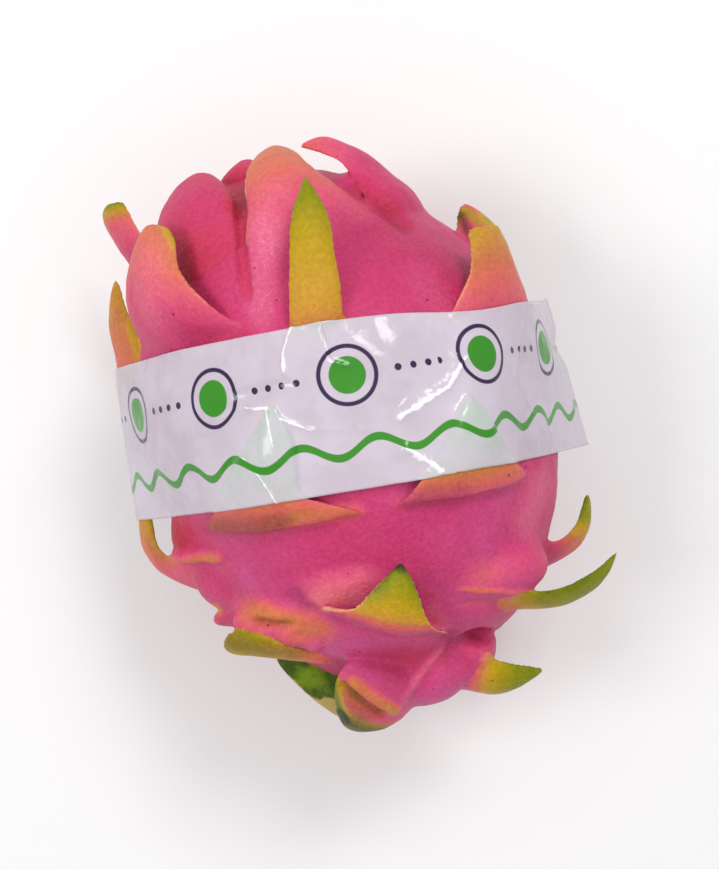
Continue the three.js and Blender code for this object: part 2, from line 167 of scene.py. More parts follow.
BODY_PROFILE = (  # y, radius, sideways shift of the centre
    (-56.8, 3.0, 0.0),
    (-54.0, 9.0, 2.0),
    (-50.0, 15.8, 3.5),
    (-46.0, 22.6, 4.2),
    (-41.0, 30.2, 3.0),
    (-30.0, 35.2, 3.0),
    (-18.0, 40.0, 3.0),
    (-4.0, 43.2, 1.0),
    (10.0, 43.4, 0.0),
    (20.0, 41.2, 0.0),
    (30.0, 36.7, -1.5),
    (39.0, 30.7, -4.0),
    (46.0, 23.7, -5.0),
    (51.0, 15.8, -6.0),
    (54.0, 8.5, -6.0),
    (54.9, 3.0, -6.0),
)

SWELLINGS = (  # centre, half sizes
    ((-15, -35.5, 20), (11, 5.5, 7.5)),
    ((-21, -35.8, 17), (8.2, 4.0, 7.0)),
    ((25, -33.3, 18.5), (11, 6.5, 9)),
    ((7.5, -51, 7.5), (10.5, 9, 9.5)),
    ((16.5, -50, 6), (7, 6.5, 8.5)),
    ((-26, -27, 6), (10, 7.5, 12)),
    ((-31, -17, 8), (8.2, 8, 10)),
    ((9.5, 44, 12), (7.5, 6.8, 8.5)),
)

UPPER_SCALES = (
    scale("tongue", 0.24, Ripening(0.54, 0.88, 0.05, 0.85, 0.03, 0.3),
          ((-8.5, 15, 40), (3.5, 14.5, 40), 3),
          ((-6.5, 24, 42.5), (4, 23, 42.5), 2.2),
          ((-5, 33.5, 42), (4.5, 32, 41.5), 2),
          ((-3, 41, 41), (4, 39.5, 40.5), 1.8),
          ((-1, 44.5, 39.5), (2, 44.3, 39.5), 1.5),
          ((0.4, 46.6, 38.6), (0.9, 46.6, 38.6), 1)),
    scale("crest", 0.38, Ripening(0.0, 0.38, 0.12, 0.8, 0.06, 0.8),
          ((-15.5, 24.5, 31.5), (24, 25.5, 18.5), 5),
          ((-13.5, 34.5, 31.2), (19, 34.5, 20.5), 4.5),
          ((-12.8, 43, 28), (11.8, 41.4, 20.5), 4),
          ((-12.3, 51, 21), (4.6, 48.1, 19.5), 3),
          ((-10, 55.5, 13.5), (1, 53.4, 14), 2.2),
          ((-7.5, 58, 6), (-1, 57.5, 7), 1.6)),
    scale("hook", 0.3, Ripening(-0.05, 0.24, 0.3, 1.0, 0.04, 0.3),
          ((15.5, 29, 31), (31.5, 22.5, 8), 5),
          ((12, 39, 27), (26, 39, 4), 4),
          ((9.8, 45.5, 21), (18, 47, 3.5), 3),
          ((8.8, 50.6, 17.5), (13.3, 53.5, 5), 2.4),
          ((6.2, 53.4, 15), (9.5, 56.5, 8), 2),
          ((2.8, 55.8, 13), (5, 59, 9), 1.6),
          ((0.2, 57, 11.3), (0.4, 57.4, 10.7), 0.9)),
    scale("rear", 0.3, Ripening(-0.2, 0.1, 0.5, 1.0, 0.1, 0.3),
          ((-22, 43, 10), (-6, 46, 16), 4),
          ((-19.5, 50, 7), (-8, 53, 10), 3),
          ((-16.5, 54, 5), (-9, 57, 5), 2),
          ((-13.5, 56.2, 4), (-10, 57.8, 4), 1.3)),
    # crimson below the body's tone, partly painted shade of the hollow it lies in
    scale("shoulder", 0.3, Ripening(-0.1, -0.08, 0.2, 1.0, 0.02, 0.15),
          ((-28.5, 19, 15), (-8, 17, 32.5), 4),
          ((-30, 29, 15.5), (-10, 26, 32.5), 4),
          ((-32, 39, 15), (-10.5, 35.5, 30.5), 3.8),
          ((-31, 47, 14), (-11.5, 43.5, 26), 3),
          ((-27, 52.4, 12), (-14, 48.5, 20), 2.4),
          ((-22, 55.5, 11), (-17, 54.5, 13), 1.8)),
    scale("ear", 0.3, Ripening(0.04, 0.36, 0.15, 1.0, 0.2, 0.5),
          ((-39, 21.5, 14), (-11, 18.5, 39), 4),
          ((-39, 31.5, 17), (-22.5, 27, 37), 3),
          ((-37, 37.5, 20), (-26, 33.5, 35), 2.4),
          ((-34.5, 42, 22), (-25.5, 38.5, 33), 2),
          ((-31.5, 45.5, 24), (-26, 43, 29), 1.6)),
    scale("sliver", 0.3, Ripening(0.3, 0.6, 0.1, 1.0, 0.08),
          ((-46.6, 11, -10), (-38, 10, 16), 3.5),
          ((-43.4, 20.5, -6), (-37, 20, 14), 2.4),
          ((-44.8, 29, -3), (-38.5, 27.5, 12), 2),
          ((-43.5, 34, 2), (-40, 32, 9), 1.5),
          ((-41.7, 37.6, 5.6), (-41.3, 37.6, 6.4), 0.8)),
    scale("spur", 0.25, Ripening(0.06, 0.85, 0.55, 1.0, 0.12),
          ((-34, 33, -24), (-32.5, 37.5, -2), 4),
          ((-41.5, 45, -18), (-35.5, 45.5, -4), 2.6),
          ((-45, 51.5, -18), (-37.5, 51.5, -7), 2),
          ((-45.5, 56, -16), (-39, 57, -10), 1.3)),
    scale("fin", 0.24, Ripening(0.1, 0.56, 0.05, 0.85, 0.1, 0.7),
          ((18, 13, 38), (43, 8, 8), 4),
          ((23.5, 18, 36.5), (40.7, 18.3, 13), 3),
          ((28, 23.5, 34.5), (39, 23.5, 17), 2.2),
          ((29, 28.5, 32.5), (37.8, 29, 20), 1.8),
          ((29.3, 32.4, 30.5), (36.4, 33.2, 22.5), 1.4),
          ((29.6, 33.2, 30), (36.3, 33.9, 22.7), 0.7)),
    scale("peek", 0.35, Ripening(-0.1, 0.1, 0.5, 1.0, 0.3, 0.2),
          ((29.5, 21, 9), (41, 23, -16), 4),
          ((28.5, 31.5, 7), (40.5, 33, -14), 2.4),
          ((29, 37, 3), (38, 38.5, -10), 1.8),
          ((31.6, 42.4, -2), (33, 42.4, -4), 0.8)),
    scale("strap", 0.15, Ripening(0.12, 0.54, 0.14, 0.9, 0.22),
          ((-33, -30.5, -6), (-24.5, -22, 22), 5),
          ((-41.5, -26, -8), (-33.5, -21, 14), 3),
          ((-45.5, -23, -9), (-41, -21.5, 5), 2.2),
          ((-47.5, -18, -9), (-43, -18, 1), 1.8),
          ((-47, -12.5, -8), (-43.2, -13, -1), 1.5),
          ((-45.5, -6.5, -6), (-43.8, -7, -2), 1)),
    scale("nub", 0.2, Ripening(0.0, 0.14, 0.5, 1.0, 0.1),
          ((-26, -36.5, 4), (-23, -30.5, 22), 4),
          ((-31.5, -37, 3), (-29, -31.5, 12), 2.4),
          ((-33.8, -36, 4), (-33.3, -34, 7), 1.4)),
    scale("eave", 0.2, Ripening(0.42, 0.68, 0.02, 0.6, 0.02, 0.6),
          ((-10, -46.2, 14), (-11.5, -44.6, 20.5), 3),
          ((-16.4, -43.8, 14), (-17, -42.1, 24), 2.4),
          ((-23, -42.8, 13), (-21, -38.7, 25.8), 2),
          ((-28, -42.6, 12.5), (-24.6, -36.8, 25), 1.6),
          ((-30.6, -41.8, 13), (-28, -35.8, 21), 1.3),
          ((-31.5, -40, 15), (-30.6, -37.8, 17.5), 0.9)),
    scale("lip_left", 0.24, Ripening(0.08, 0.88, 0.22, 0.8, 0.12, 0.5, False),
          ((-30.7, -17, 23.4), (4, -17.9, 40.9), 1.8),
          ((-29.8, -14.8, 25.3), (-1.5, -15, 42.2), 1.8),
          ((-28, -12.2, 30), (-7.5, -12.8, 42.3), 1.8),
          ((-26.5, -10, 33), (-10, -11, 42.4), 1.8),
          ((-21, -4, 39.8), (-8.5, -4.5, 43.8), 1.6),
          ((-16, 1.5, 41.9), (-10, 1.5, 43.9), 1.4),
          ((-12.4, 6, 43.5), (-11.8, 6, 43.7), 0.8)),
    scale("lip_right", 0.24, Ripening(0.1, 0.88, 0.18, 0.8, 0.12, 0.5, False),
          ((4.8, -17.2, 41), (34.2, -16.8, 26), 1.8),
          ((9.5, -15, 42), (34.2, -14.8, 27.5), 1.8),
          ((11.5, -13, 42), (32.5, -12.8, 30.3), 1.8),
          ((14, -11.4, 42), (30, -11.2, 33.4), 1.8),
          ((16.5, -7.5, 41.8), (29, -7.2, 36), 1.6),
          ((20, -3, 41.4), (27, -3, 37.5), 1.4),
          ((23.5, 1.5, 39.5), (24.1, 1.5, 39.2), 0.8)),
    scale("peak", 0.2, Ripening(0.12, 0.9, 0.16, 0.95, 0.12, 0.7, False),
          ((-12, -33.8, 30.5), (14.4, -44.2, 25.5), 3.2),
          ((-10.5, -33.3, 32.6), (14, -42.5, 31), 3),
          ((-4, -35.3, 38.6), (10.3, -41.3, 37.5), 2.4),
          ((1, -31.3, 40.5), (9, -34, 40.5), 1.8),
          ((6.2, -26.6, 41.2), (6.8, -26.6, 41.2), 0.9)),
    scale("whisker", 0.25, Ripening(0.05, 0.84, 0.3, 0.75, 0.1, 0.4),
          ((35, -29, 6), (35.5, -37, -12), 4),
          ((38.5, -31.5, 4.5), (40, -34.5, -7), 2.2),
          ((42, -30.2, 3.5), (45.5, -33.6, -6), 1.5),
          ((45.2, -27, 1.5), (48.4, -28, -5), 1.2),
          ((48.1, -22.5, -2.6), (48.4, -22.5, -3.3), 0.7)),
    scale("blade", 0.2, Ripening(0.25, 0.86, 0.05, 0.5, 0.1, 0.4),
          ((19.4, -36.2, 25), (25, -41.5, 9), 3),
          ((26, -37.2, 24), (30.5, -41.5, 9), 2.4),
          ((32.7, -39, 21.5), (35, -43, 10), 1.8),
          ((38.5, -38.9, 20), (41, -43, 11.5), 1.6),
          ((44, -37, 18.5), (47, -40, 13), 1.4),
          ((50.2, -33.6, 15.3), (50.4, -34, 14.7), 0.8)),
    scale("heel", 0.3, Ripening(0.0, 0.88, 0.42, 0.54, 0.03, 0.0),
          ((13, -46.5, 14), (12.5, -58.5, -2), 5),
          ((19, -48.5, 13.5), (16, -57.5, 1), 4),
          ((21.8, -52, 13), (20, -60, 4), 2.8),
          ((26.5, -53.3, 12), (25, -60.7, 6), 1.9),
          ((32.3, -55.8, 9.3), (32.5, -56.2, 8.7), 0.8)),
    scale("toe", 0.35, Ripening(0.04, 0.5, 0.2, 1.0, 0.2, 0.4),
          ((7, -57, 7), (-7.3, -45.5, 23.5), 6),
          ((3.5, -60.5, 8.5), (-10, -48, 20), 4),
          ((-1, -63.3, 6), (-11.5, -52.5, 14), 3),
          ((-6.5, -63.7, 3.5), (-11.8, -57, 8), 2),
          ((-10.2, -61.8, 4.3), (-10.8, -60.4, 5.3), 1.0)),
)


@dataclass(frozen=True)
class Touch:
    """A soft stroke on the finished skin that fades out to its sides.

    Attributes:
        start: Where it begins.
        end: Where it ends.
        half_sizes: How far it reaches from the line between them.
        tone: Tone added to the skin.
        rise: How far the skin is drawn out, or pressed in where that is below 0.
        bloom_and_painted_light: Paler by bloom and painted light; below 0, darker by brown marks and painted shade.
    """

    start: Point
    end: Point
    half_sizes: Point
    tone: float = 0.0
    rise: float = 0.0
    bloom_and_painted_light: float = 0.0

    def share(self, places: np.ndarray) -> np.ndarray:
        """Tells how much of the stroke each place gets.

        Args:
            places: Places in the fruit's millimetres, one a row.

        Returns:
            A number from 0 to 1 for each place.
        """
        start = np.array(self.start)
        line = np.array(self.end) - start
        along = np.clip((places - start) @ line / max(line @ line, 1e-9), 0, 1)
        off = (places - start - along[:, None] * line) / self.half_sizes
        return np.clip(1 - (off**2).sum(axis=1), 0, 1) ** 2


TOUCHES = (
    # the blush above the eave, with its dimple between two gold patches
    Touch((-25, -33.5, 22), (-11, -38, 27), (6.5, 6, 9), 0.3),
    Touch((-21.5, -33.4, 24.5), (-16.5, -35.6, 26.5), (5, 2.8, 6), 0.18),
    Touch((-22.5, -35.4, 24), (-18.4, -36.6, 25.5), (3.6, 1.7, 5), 0.04, -1.7, -0.36),
    Touch((-14, -38.6, 25), (-14, -38.6, 25), (4, 2.6, 6), 0.1),
    Touch((-18, -39.8, 24), (-13.6, -41.8, 23), (3.2, 2.4, 5), 0.06, 1.5, 0.12),
    # the armpits, paler by painted light where the peak shades them, the dark tip of the peak, and the redder flesh
    # below it
    Touch((-8, -31, 34), (-3, -30.5, 37), (8, 5, 9), 0.2, 1.2, 0.22),
    Touch((-10.5, -32.4, 32), (-3, -33.4, 33.2), (4, 2.2, 3.4), 0.12, 0.0, 0.44),
    Touch((6.3, -26.8, 41.4), (6.2, -28, 41.6), (1.8, 1.8, 3), 0.1, 0.0, -0.45),
    Touch((-14.5, -31.5, 30), (-12.5, -33.5, 30), (4, 3, 6), 0.0, -0.7, -0.25),
    Touch((0, -47, 24), (10, -50, 20), (10, 5, 9), -0.14),
    # the valleys and ridges of the crown: valleys darkened by painted shade, the crest's left slope paler, partly
    # painted highlight
    Touch((-17, 33, 30), (-17, 33, 30), (13, 12, 14), -0.05, 1.6),
    Touch((-13.8, 28, 34), (-13, 46, 27), (1.8, 4, 6), -0.08, -1.2, -0.1),
    Touch((-13.5, 49, 14), (-13, 46, 22), (4, 6, 10), -0.26),
    Touch((-26, 26, 28), (-25, 38, 26), (4, 6, 8), -0.1),
    Touch((-11.5, 24, 36), (-9, 38, 32), (4.6, 9, 9), 0.0, 0.0, 0.36),
    Touch((-8, 36, 33), (-6, 46, 28), (5, 6, 8), 0.0, 0.0, 0.22),
    Touch((18, 33, 30), (24, 30, 25), (18, 18, 20), -0.03, 0.0, -0.1),
    Touch((24, 18, 36), (20, 26, 34), (7, 7, 8), 0.0, 0.0, 0.16),
    Touch((10, 47, 20), (18, 37, 24), (3, 4, 6), -0.08, -1.2, -0.15),
    Touch((-26, 21, 36), (-18, 18, 40), (7, 5, 8), -0.08, 0.0, -0.2),
    Touch((8, 52, 14), (14, 44, 18), (4, 5, 8), 0.04, 0.0, 0.06),
    # the sliver's flank and tip, the ear's bloom and ripe rim, and the spur's tip
    Touch((-38.8, 21, 13), (-38.8, 25, 12), (2.8, 5, 4), 0.2),
    Touch((-41.3, 37, 6.5), (-41.2, 31, 9), (4, 4, 5), -0.04, 0.0, -0.2),
    Touch((-31, 37, 32), (-33.4, 28, 30.5), (7, 7, 8), 0.05, 0.0, 0.22),
    Touch((-27.8, 44, 29), (-24.6, 36, 34), (1.8, 3, 4), 0.2),
    Touch((-42, 54, -10), (-40, 54, -9), (5, 3.4, 5), 0.04, 0.0, -0.16),
    # the hollow behind the strap, darkened as painted shade, its darker back and the ridge at its foot
    Touch((-36, -17, 10), (-36, -17, 10), (8, 8, 14), -0.34),
    Touch((-43.8, -17.6, 0), (-42.4, -21.6, 3), (3, 4, 5), 0.0, 0.0, -0.22),
    Touch((-39, -20.5, 9), (-29, -21.6, 20), (4, 2.0, 6), 0.44, 1.5),
    # the toe's groove, ridge and ripe rim
    Touch((-8.6, -51.3, 18.6), (-2.4, -58.8, 15.6), (1.7, 1.7, 6), 0.3, -1.4, -0.45),
    Touch((-6.2, -50.4, 20), (0.4, -58.2, 16.2), (2.3, 2.3, 6), 0.46, 0.7),
    Touch((-7.4, -54.4, 18), (-6, -58, 15.5), (3.4, 3.6, 7), 0.16, 0.0, -0.36),
    Touch((-10.8, -50, 17), (-10.6, -58.5, 12.5), (2.8, 3, 8), 0.62, 0.0, -0.1),
    Touch((-9.8, -60, 11.5), (-3.5, -63.4, 9), (5.2, 4.2, 10), 0.66, 0.0, -0.66),
    # the peek's ripe end with its brown rim
    Touch((36.8, 38.5, -2), (38, 33, -9), (3.4, 6, 6), 0.8),
    Touch((33, 40, -0.4), (34.2, 37, 0), (1.9, 2.4, 4), 0.6, 0.0, -0.3),
    Touch((31.2, 39.2, 0.8), (31.8, 35.6, 2.8), (1.9, 2.4, 4), 0.12, 0.0, -0.8),
    Touch((29.6, 37.4, 2.6), (31.2, 41, 0), (1.2, 2, 5), 0.36, 0.0, -0.2),
    # the nub's tip, the flesh round the blade's root and the peak's right edge
    Touch((-31.6, -32, 9), (-31.2, -33, 8), (2, 1.8, 5), 0.7),
    Touch((22, -33, 26), (30, -33, 20), (8, 5, 8), 0.21),
    Touch((18, -38.5, 26), (27, -40.5, 18), (3, 1.8, 6), 0.1, -0.8),
    Touch((30, -40, 20), (34, -40, 17), (4, 3.4, 6), 0.06, 0.0, -0.3),
    Touch((10.5, -38.6, 29), (12, -42, 27), (3.4, 4, 4), 0.1, 0.0, 0.16),
    Touch((-27, -29, 19), (-24, -31, 22), (4, 3.5, 5), 0.0, 0.0, -0.14),
    Touch((17.4, -35.2, 28.4), (29.2, -38.1, 23.3), (2, 0.8, 4), 0.24, 0.5),
    # painted shade on the eave, and the lips' borders riper and darker
    Touch((-30, -39, 20), (-18, -41.6, 22), (6, 4.6, 9), 0.02, 0.0, -0.5),
    Touch((-30, -15.6, 28), (-15, -16.2, 38), (5, 3.8, 10), 0.17, 0.0, -0.5),
    Touch((-11, -16, 41.5), (-1, -16.4, 43), (4, 3, 8), 0.26, 0.0, -0.06),
    Touch((12, -15.4, 41), (19, -15.6, 39), (5, 3.4, 9), 0.05, 0.0, -0.33),
    Touch((24, -15.4, 36), (31, -15.2, 31), (5, 3.4, 9), 0.1, 0.0, -0.06),
    # the pale right flank, and the crimson foot of the peak, painted shade along the edge of its base
    Touch((33, -24, 22), (36, -19, 20), (7, 7, 10), 0.0, 0.0, 0.35),
    Touch((-8, -36.2, 35), (11, -42.6, 35), (4, 3.4, 9), -0.38, 0.0, -0.12),
    # the folds round the gathered stem end: a pale ridge and the heel's knob, painted highlight, and darker notches,
    # painted shade
    Touch((1.6, -57, 14), (12.5, -46.5, 18), (1.4, 1.4, 6), 0.0, 0.6, 0.34),
    Touch((18.5, -46.2, 18), (23.6, -47.4, -6), (3.8, 2.6, 6), 0.0, -4.0, -0.2),
    Touch((17.6, -49, 14), (19.6, -50.4, 12), (4, 3.2, 6), 0.0, 1.3, 0.14),
    Touch((13.5, -44.6, 21), (13.5, -46.6, 19), (3, 2.4, 6), 0.0, -1.0, -0.2),
    Touch((13, -46, 20), (16, -50, 17), (6, 5, 8), 0.0, 0.0, -0.12),
)

FILM_TOUCHES = (  # where the film gives way, first at its side crease
    Touch((47.5, 9, -5), (47.5, 9, -5), (8, 4.5, 14), rise=-1.0),
    Touch((-17, 8, 42), (-10, 8.5, 42), (4, 2.4, 8), rise=-0.9),
    Touch((0, 3, 44), (12, 4, 43), (5, 3, 8), rise=-0.8),
)

# where the eave's margin runs along the body
SEAM = Touch((-28, -36.8, 23), (-17, -41, 26), (3, 2.4, 5))


@dataclass(frozen=True)
class UnderScale:
    """A scale on the side that lies down or on a far flank, given by its place on the rind.

    Attributes:
        azimuth: Degrees from straight up towards the right flank.
        base: Place of its base along the fruit.
        half_width: Half its width at the base.
        length: Its length along the fruit.
        lift: How far its tip stands off the rind.
        thickness: Its thickness at the base.
    """

    azimuth: float
    base: float
    half_width: float
    length: float
    lift: float
    thickness: float


UNDER_SCALES = (
    UnderScale(112, 2, 12, 34, 2.5, 3.5),
    UnderScale(132, -24, 13, 26, 3, 3.5),
    UnderScale(158, 22, 12, 26, 3, 3),
    UnderScale(176, -28, 13, 22, 1.5, 3),
    UnderScale(206, 20, 12, 28, 3, 3),
    UnderScale(222, -22, 13, 28, 3, 3.5),
    UnderScale(242, 6, 12, 32, 3, 3.5),
    UnderScale(258, -30, 11, 22, 1, 3.5),
    UnderScale(96, 26, 12, 30, 3, 3.5),
    UnderScale(128, 26, 11, 24, 3, 3),
    UnderScale(236, 26, 12, 26, 3, 3),
    UnderScale(180, 30, 11, 20, 2.5, 3),
    UnderScale(110, -46, 11, 18, 2, 3),
    UnderScale(155, -45, 12, 20, 8, 3.5),
    UnderScale(208, -45, 12, 20, 8, 3.5),
)


# ---- working by hand -------------------------------------------------------------------------------------------


def pick_only(*objects: Thing) -> None:
    """Selects objects alone.

    Args:
        *objects: The objects. The first one becomes active.
    """
    bpy.ops.object.select_all(action="DESELECT")
    for thing in objects:
        thing.select_set(True)
    bpy.context.view_layer.objects.active = objects[0]


@contextmanager
def editing(thing: Thing) -> Iterator[None]:
    """Opens an object alone in edit mode with nothing selected, and closes it afterwards.

    Args:
        thing: The mesh object.

    Yields:
        Nothing.
    """
    pick_only(thing)
    bpy.ops.object.mode_set(mode="EDIT")
    bpy.ops.mesh.select_all(action="DESELECT")
    yield
    bpy.ops.object.mode_set(mode="OBJECT")


def apply_modifier(thing: Thing, name: str, kind: str, **settings: object) -> None:
    """Adds a modifier, sets it and applies it.

    Args:
        thing: The mesh object it works on.
        name: The modifier's name.
        kind: Blender's type of modifier.
        **settings: Values for the modifier's own fields.
    """
    pick_only(thing)
    modifier = thing.modifiers.new(name, kind)
    for key, value in settings.items():
        setattr(modifier, key, value)
    bpy.ops.object.modifier_apply(modifier=modifier.name)


def joined(things: list[Thing], name: str) -> Thing:
    """Joins mesh objects into one.

    Args:
        things: The objects; the first one takes the others in.
        name: The name of the whole.

    Returns:
        The joined object.
    """
    pick_only(*things)
    bpy.ops.object.join()
    whole = bpy.context.object
    whole.name = name
    whole.data.name = name
    return whole


def copied(thing: Thing, name: str) -> Thing:
    """Copies an object with a mesh of its own.

    Args:
        thing: The object to copy.
        name: The copy's name.

    Returns:
        The copy.
    """
    pick_only(thing)
    bpy.ops.object.duplicate()
    copy = bpy.context.object
    copy.name = name
    return copy


def carry_growth(thing: Thing, source: Thing) -> None:
    """Copies the values stored for the skin's colours from the nearest place on another object.

    Args:
        thing: The object that gets them.
        source: The object that has them.
    """
    layer = thing.data.color_attributes.new(GROWTH, "FLOAT_COLOR", "POINT")
    thing.data.color_attributes.active_color = layer
    apply_modifier(thing, "carry", "DATA_TRANSFER", object=source, use_vert_data=True,
                   data_types_verts={"COLOR_VERTEX"}, vert_mapping="POLYINTERP_NEAREST")


def read_growth(thing: Thing) -> np.ndarray:
    """Reads what is stored on an object's vertices.

    Args:
        thing: The mesh object.

    Returns:
        Its four values, one row a vertex.
    """
    values = np.empty(len(thing.data.vertices) * 4, np.float32)
    thing.data.color_attributes[GROWTH].data.foreach_get("color", values)
    return values.reshape(-1, 4)


def store_growth(thing: Thing, values: np.ndarray) -> None:
    """Stores values on an object's vertices, one row a vertex."""
    thing.data.color_attributes[GROWTH].data.foreach_set("color", values.ravel())


def read_vectors(thing: Thing, kind: str = "co") -> np.ndarray:
    """Reads the places of an object's vertices, or another vector that they have.

    Args:
        thing: The mesh object.
        kind: "co" for places, "normal" for normals.

    Returns:
        The vectors, one row a vertex.
    """
    values = np.empty(len(thing.data.vertices) * 3)
    thing.data.vertices.foreach_get(kind, values)
    return values.reshape(-1, 3)


def own_places(thing: Thing) -> np.ndarray:
    """Reads the places of an object's vertices in the fruit's own millimetres."""
    return read_vectors(thing) / MM - (0, 0, AXIS_HEIGHT)


def blend_growth(thing: Thing, times: int, where: np.ndarray | None = None) -> None:
    """Blends an object's stored values over their borders.

    Args:
        thing: The mesh object.
        times: How often.
        where: The vertices that take part. All do where it is left out.
    """
    pick_only(thing)
    bpy.ops.object.mode_set(mode="VERTEX_PAINT")
    thing.data.use_paint_mask_vertex = where is not None
    if where is not None:
        thing.data.vertices.foreach_set("select", where)
    for _ in range(times):
        bpy.ops.paint.vertex_color_smooth()
    thing.data.use_paint_mask_vertex = False
    bpy.ops.object.mode_set(mode="OBJECT")


def weigh(thing: Thing, name: str, weights: np.ndarray, steps: int = 8) -> None:
    """Adds a vertex group with weights rounded to a few steps.

    Args:
        thing: The mesh object.
        name: The group's name.
        weights: A weight from 0 to 1 for each vertex.
        steps: How many steps there are between 0 and 1.
    """
    group = thing.vertex_groups.new(name=name)
    rounded = np.round(weights * steps).astype(int)
    for step in range(1, steps + 1):
        group.add(np.nonzero(rounded == step)[0].tolist(), step / steps, "REPLACE")


def relax(thing: Thing, rounds: int, group: str = "") -> None:
    """Smooths a mesh, or one of its vertex groups.

    Args:
        thing: The mesh object.
        rounds: How often.
        group: The name of the group that moves. All vertices do where it is left out.
    """
    apply_modifier(thing, "relax", "SMOOTH", factor=0.5, iterations=rounds, vertex_group=group)


def round_off(thing: Thing, levels: int) -> None:
    """Rounds a cage by subdivision."""
    apply_modifier(thing, "round", "SUBSURF", levels=levels, render_levels=levels)


def ruffle(thing: Thing, size: float, rise: float, middle: float = 0.5, group: str = "") -> None:
    """Moves a surface in and out by a cloudy pattern.

    Args:
        thing: The mesh object.
        size: How broad the clouds are, in millimetres.
        rise: How far the brightest and the darkest place come apart, in millimetres.
        middle: The brightness, from 0 to 1, at which nothing moves.
        group: The name of the vertex group that moves. All vertices do where it is left out.
    """
    cloud = bpy.data.textures.new("cloud", "CLOUDS")
    cloud.noise_scale = size * MM
    apply_modifier(thing, "ruffle", "DISPLACE", texture=cloud, texture_coords="LOCAL", strength=rise * MM,
                   mid_level=middle, vertex_group=group)


@dataclass(frozen=True)
class Ring:
    """One section of a loft: an ellipse with its two axes, bowed along the second.

    Attributes:
        centre: Its middle, in metres.
        across: Unit direction of its width.
        outward: Unit direction of its thickness.
        half_width: Half its width.
        half_thickness: Half its thickness.
        bow: How far the middle of its outer side moves outwards.
        inner_bow: The same for its inner side.
    """

    centre: Vector
    across: Vector
    outward: Vector
    half_width: float
    half_thickness: float
    bow: float = 0.0
    inner_bow: float = 0.0


def lay_ring(mesh: bpy.types.Mesh, ring: Ring, sides: int) -> None:
    """Adds one ring to the mesh in edit mode, turned, squashed and bowed.

    Args:
        mesh: The mesh in edit mode.
        ring: What the ring is like.
        sides: Its number of corners, a multiple of four.
    """
    bpy.ops.mesh.select_all(action="DESELECT")
    turn = Matrix((ring.across, ring.outward, ring.across.cross(ring.outward))).transposed()
    bpy.ops.mesh.primitive_circle_add(vertices=sides, radius=ring.half_width, location=ring.centre,
                                      rotation=turn.to_euler())
    bpy.ops.transform.resize(value=(1, ring.half_thickness / ring.half_width, 1), orient_matrix=turn,
                             orient_matrix_type="GLOBAL", center_override=ring.centre)
    if ring.bow == 0 and ring.inner_bow == 0:
        return
    first = len(bmesh.from_edit_mesh(mesh).verts) - sides
    quarter = sides // 4
    for step in range(quarter):
        share = math.cos(2 * math.pi * step / sides) ** 2
        for middle, bow in ((0, ring.bow), (2 * quarter, ring.inner_bow)):
            grid = bmesh.from_edit_mesh(mesh)
            grid.verts.ensure_lookup_table()
            bpy.ops.mesh.select_all(action="DESELECT")
            for corner in {(middle + step) % sides, (middle - step) % sides}:
                grid.verts[first + corner].select = True
            bpy.ops.transform.translate(value=ring.outward * bow * share)


def loft(name: str, rings: list[Ring], sides: int) -> Thing:
    """Lays rings one after another, bridges them and closes both ends.

    Args:
        name: The new object's name.
        rings: The sections in order.
        sides: Corners of each ring. Corner 0 is the outermost and the next quarter is the left margin.

    Returns:
        A closed mesh whose vertex number is ring * sides + corner.
    """
    bpy.ops.object.select_all(action="DESELECT")
    bpy.ops.object.add(type="MESH", enter_editmode=True)
    thing = bpy.context.object
    thing.name = name
    for ring in rings:
        lay_ring(thing.data, ring, sides)
    bpy.ops.mesh.select_all(action="SELECT")
    bpy.ops.mesh.bridge_edge_loops(type="SINGLE")
    bpy.ops.mesh.select_all(action="DESELECT")
    bpy.ops.mesh.select_non_manifold()
    bpy.ops.mesh.edge_face_add()
    bpy.ops.mesh.select_all(action="SELECT")
    bpy.ops.mesh.normals_make_consistent(inside=False)
    bpy.ops.object.mode_set(mode="OBJECT")
    return thing


# ---- the fruit -------------------------------------------------------------------------------------------------


def smooth_step(low: float, high: float, value: float) -> float:
    """Rises smoothly from 0 at low to 1 at high."""
    share = min(max((value - low) / (high - low), 0.0), 1.0)
    return share * share * (3 - 2 * share)


def body_at(y: float) -> Span:
    """Gives the body's radius and its centre's shift at a place along the fruit, in millimetres."""
    places, radii, shifts = zip(*BODY_PROFILE)
    return float(np.interp(y, places, radii)), float(np.interp(y, places, shifts))


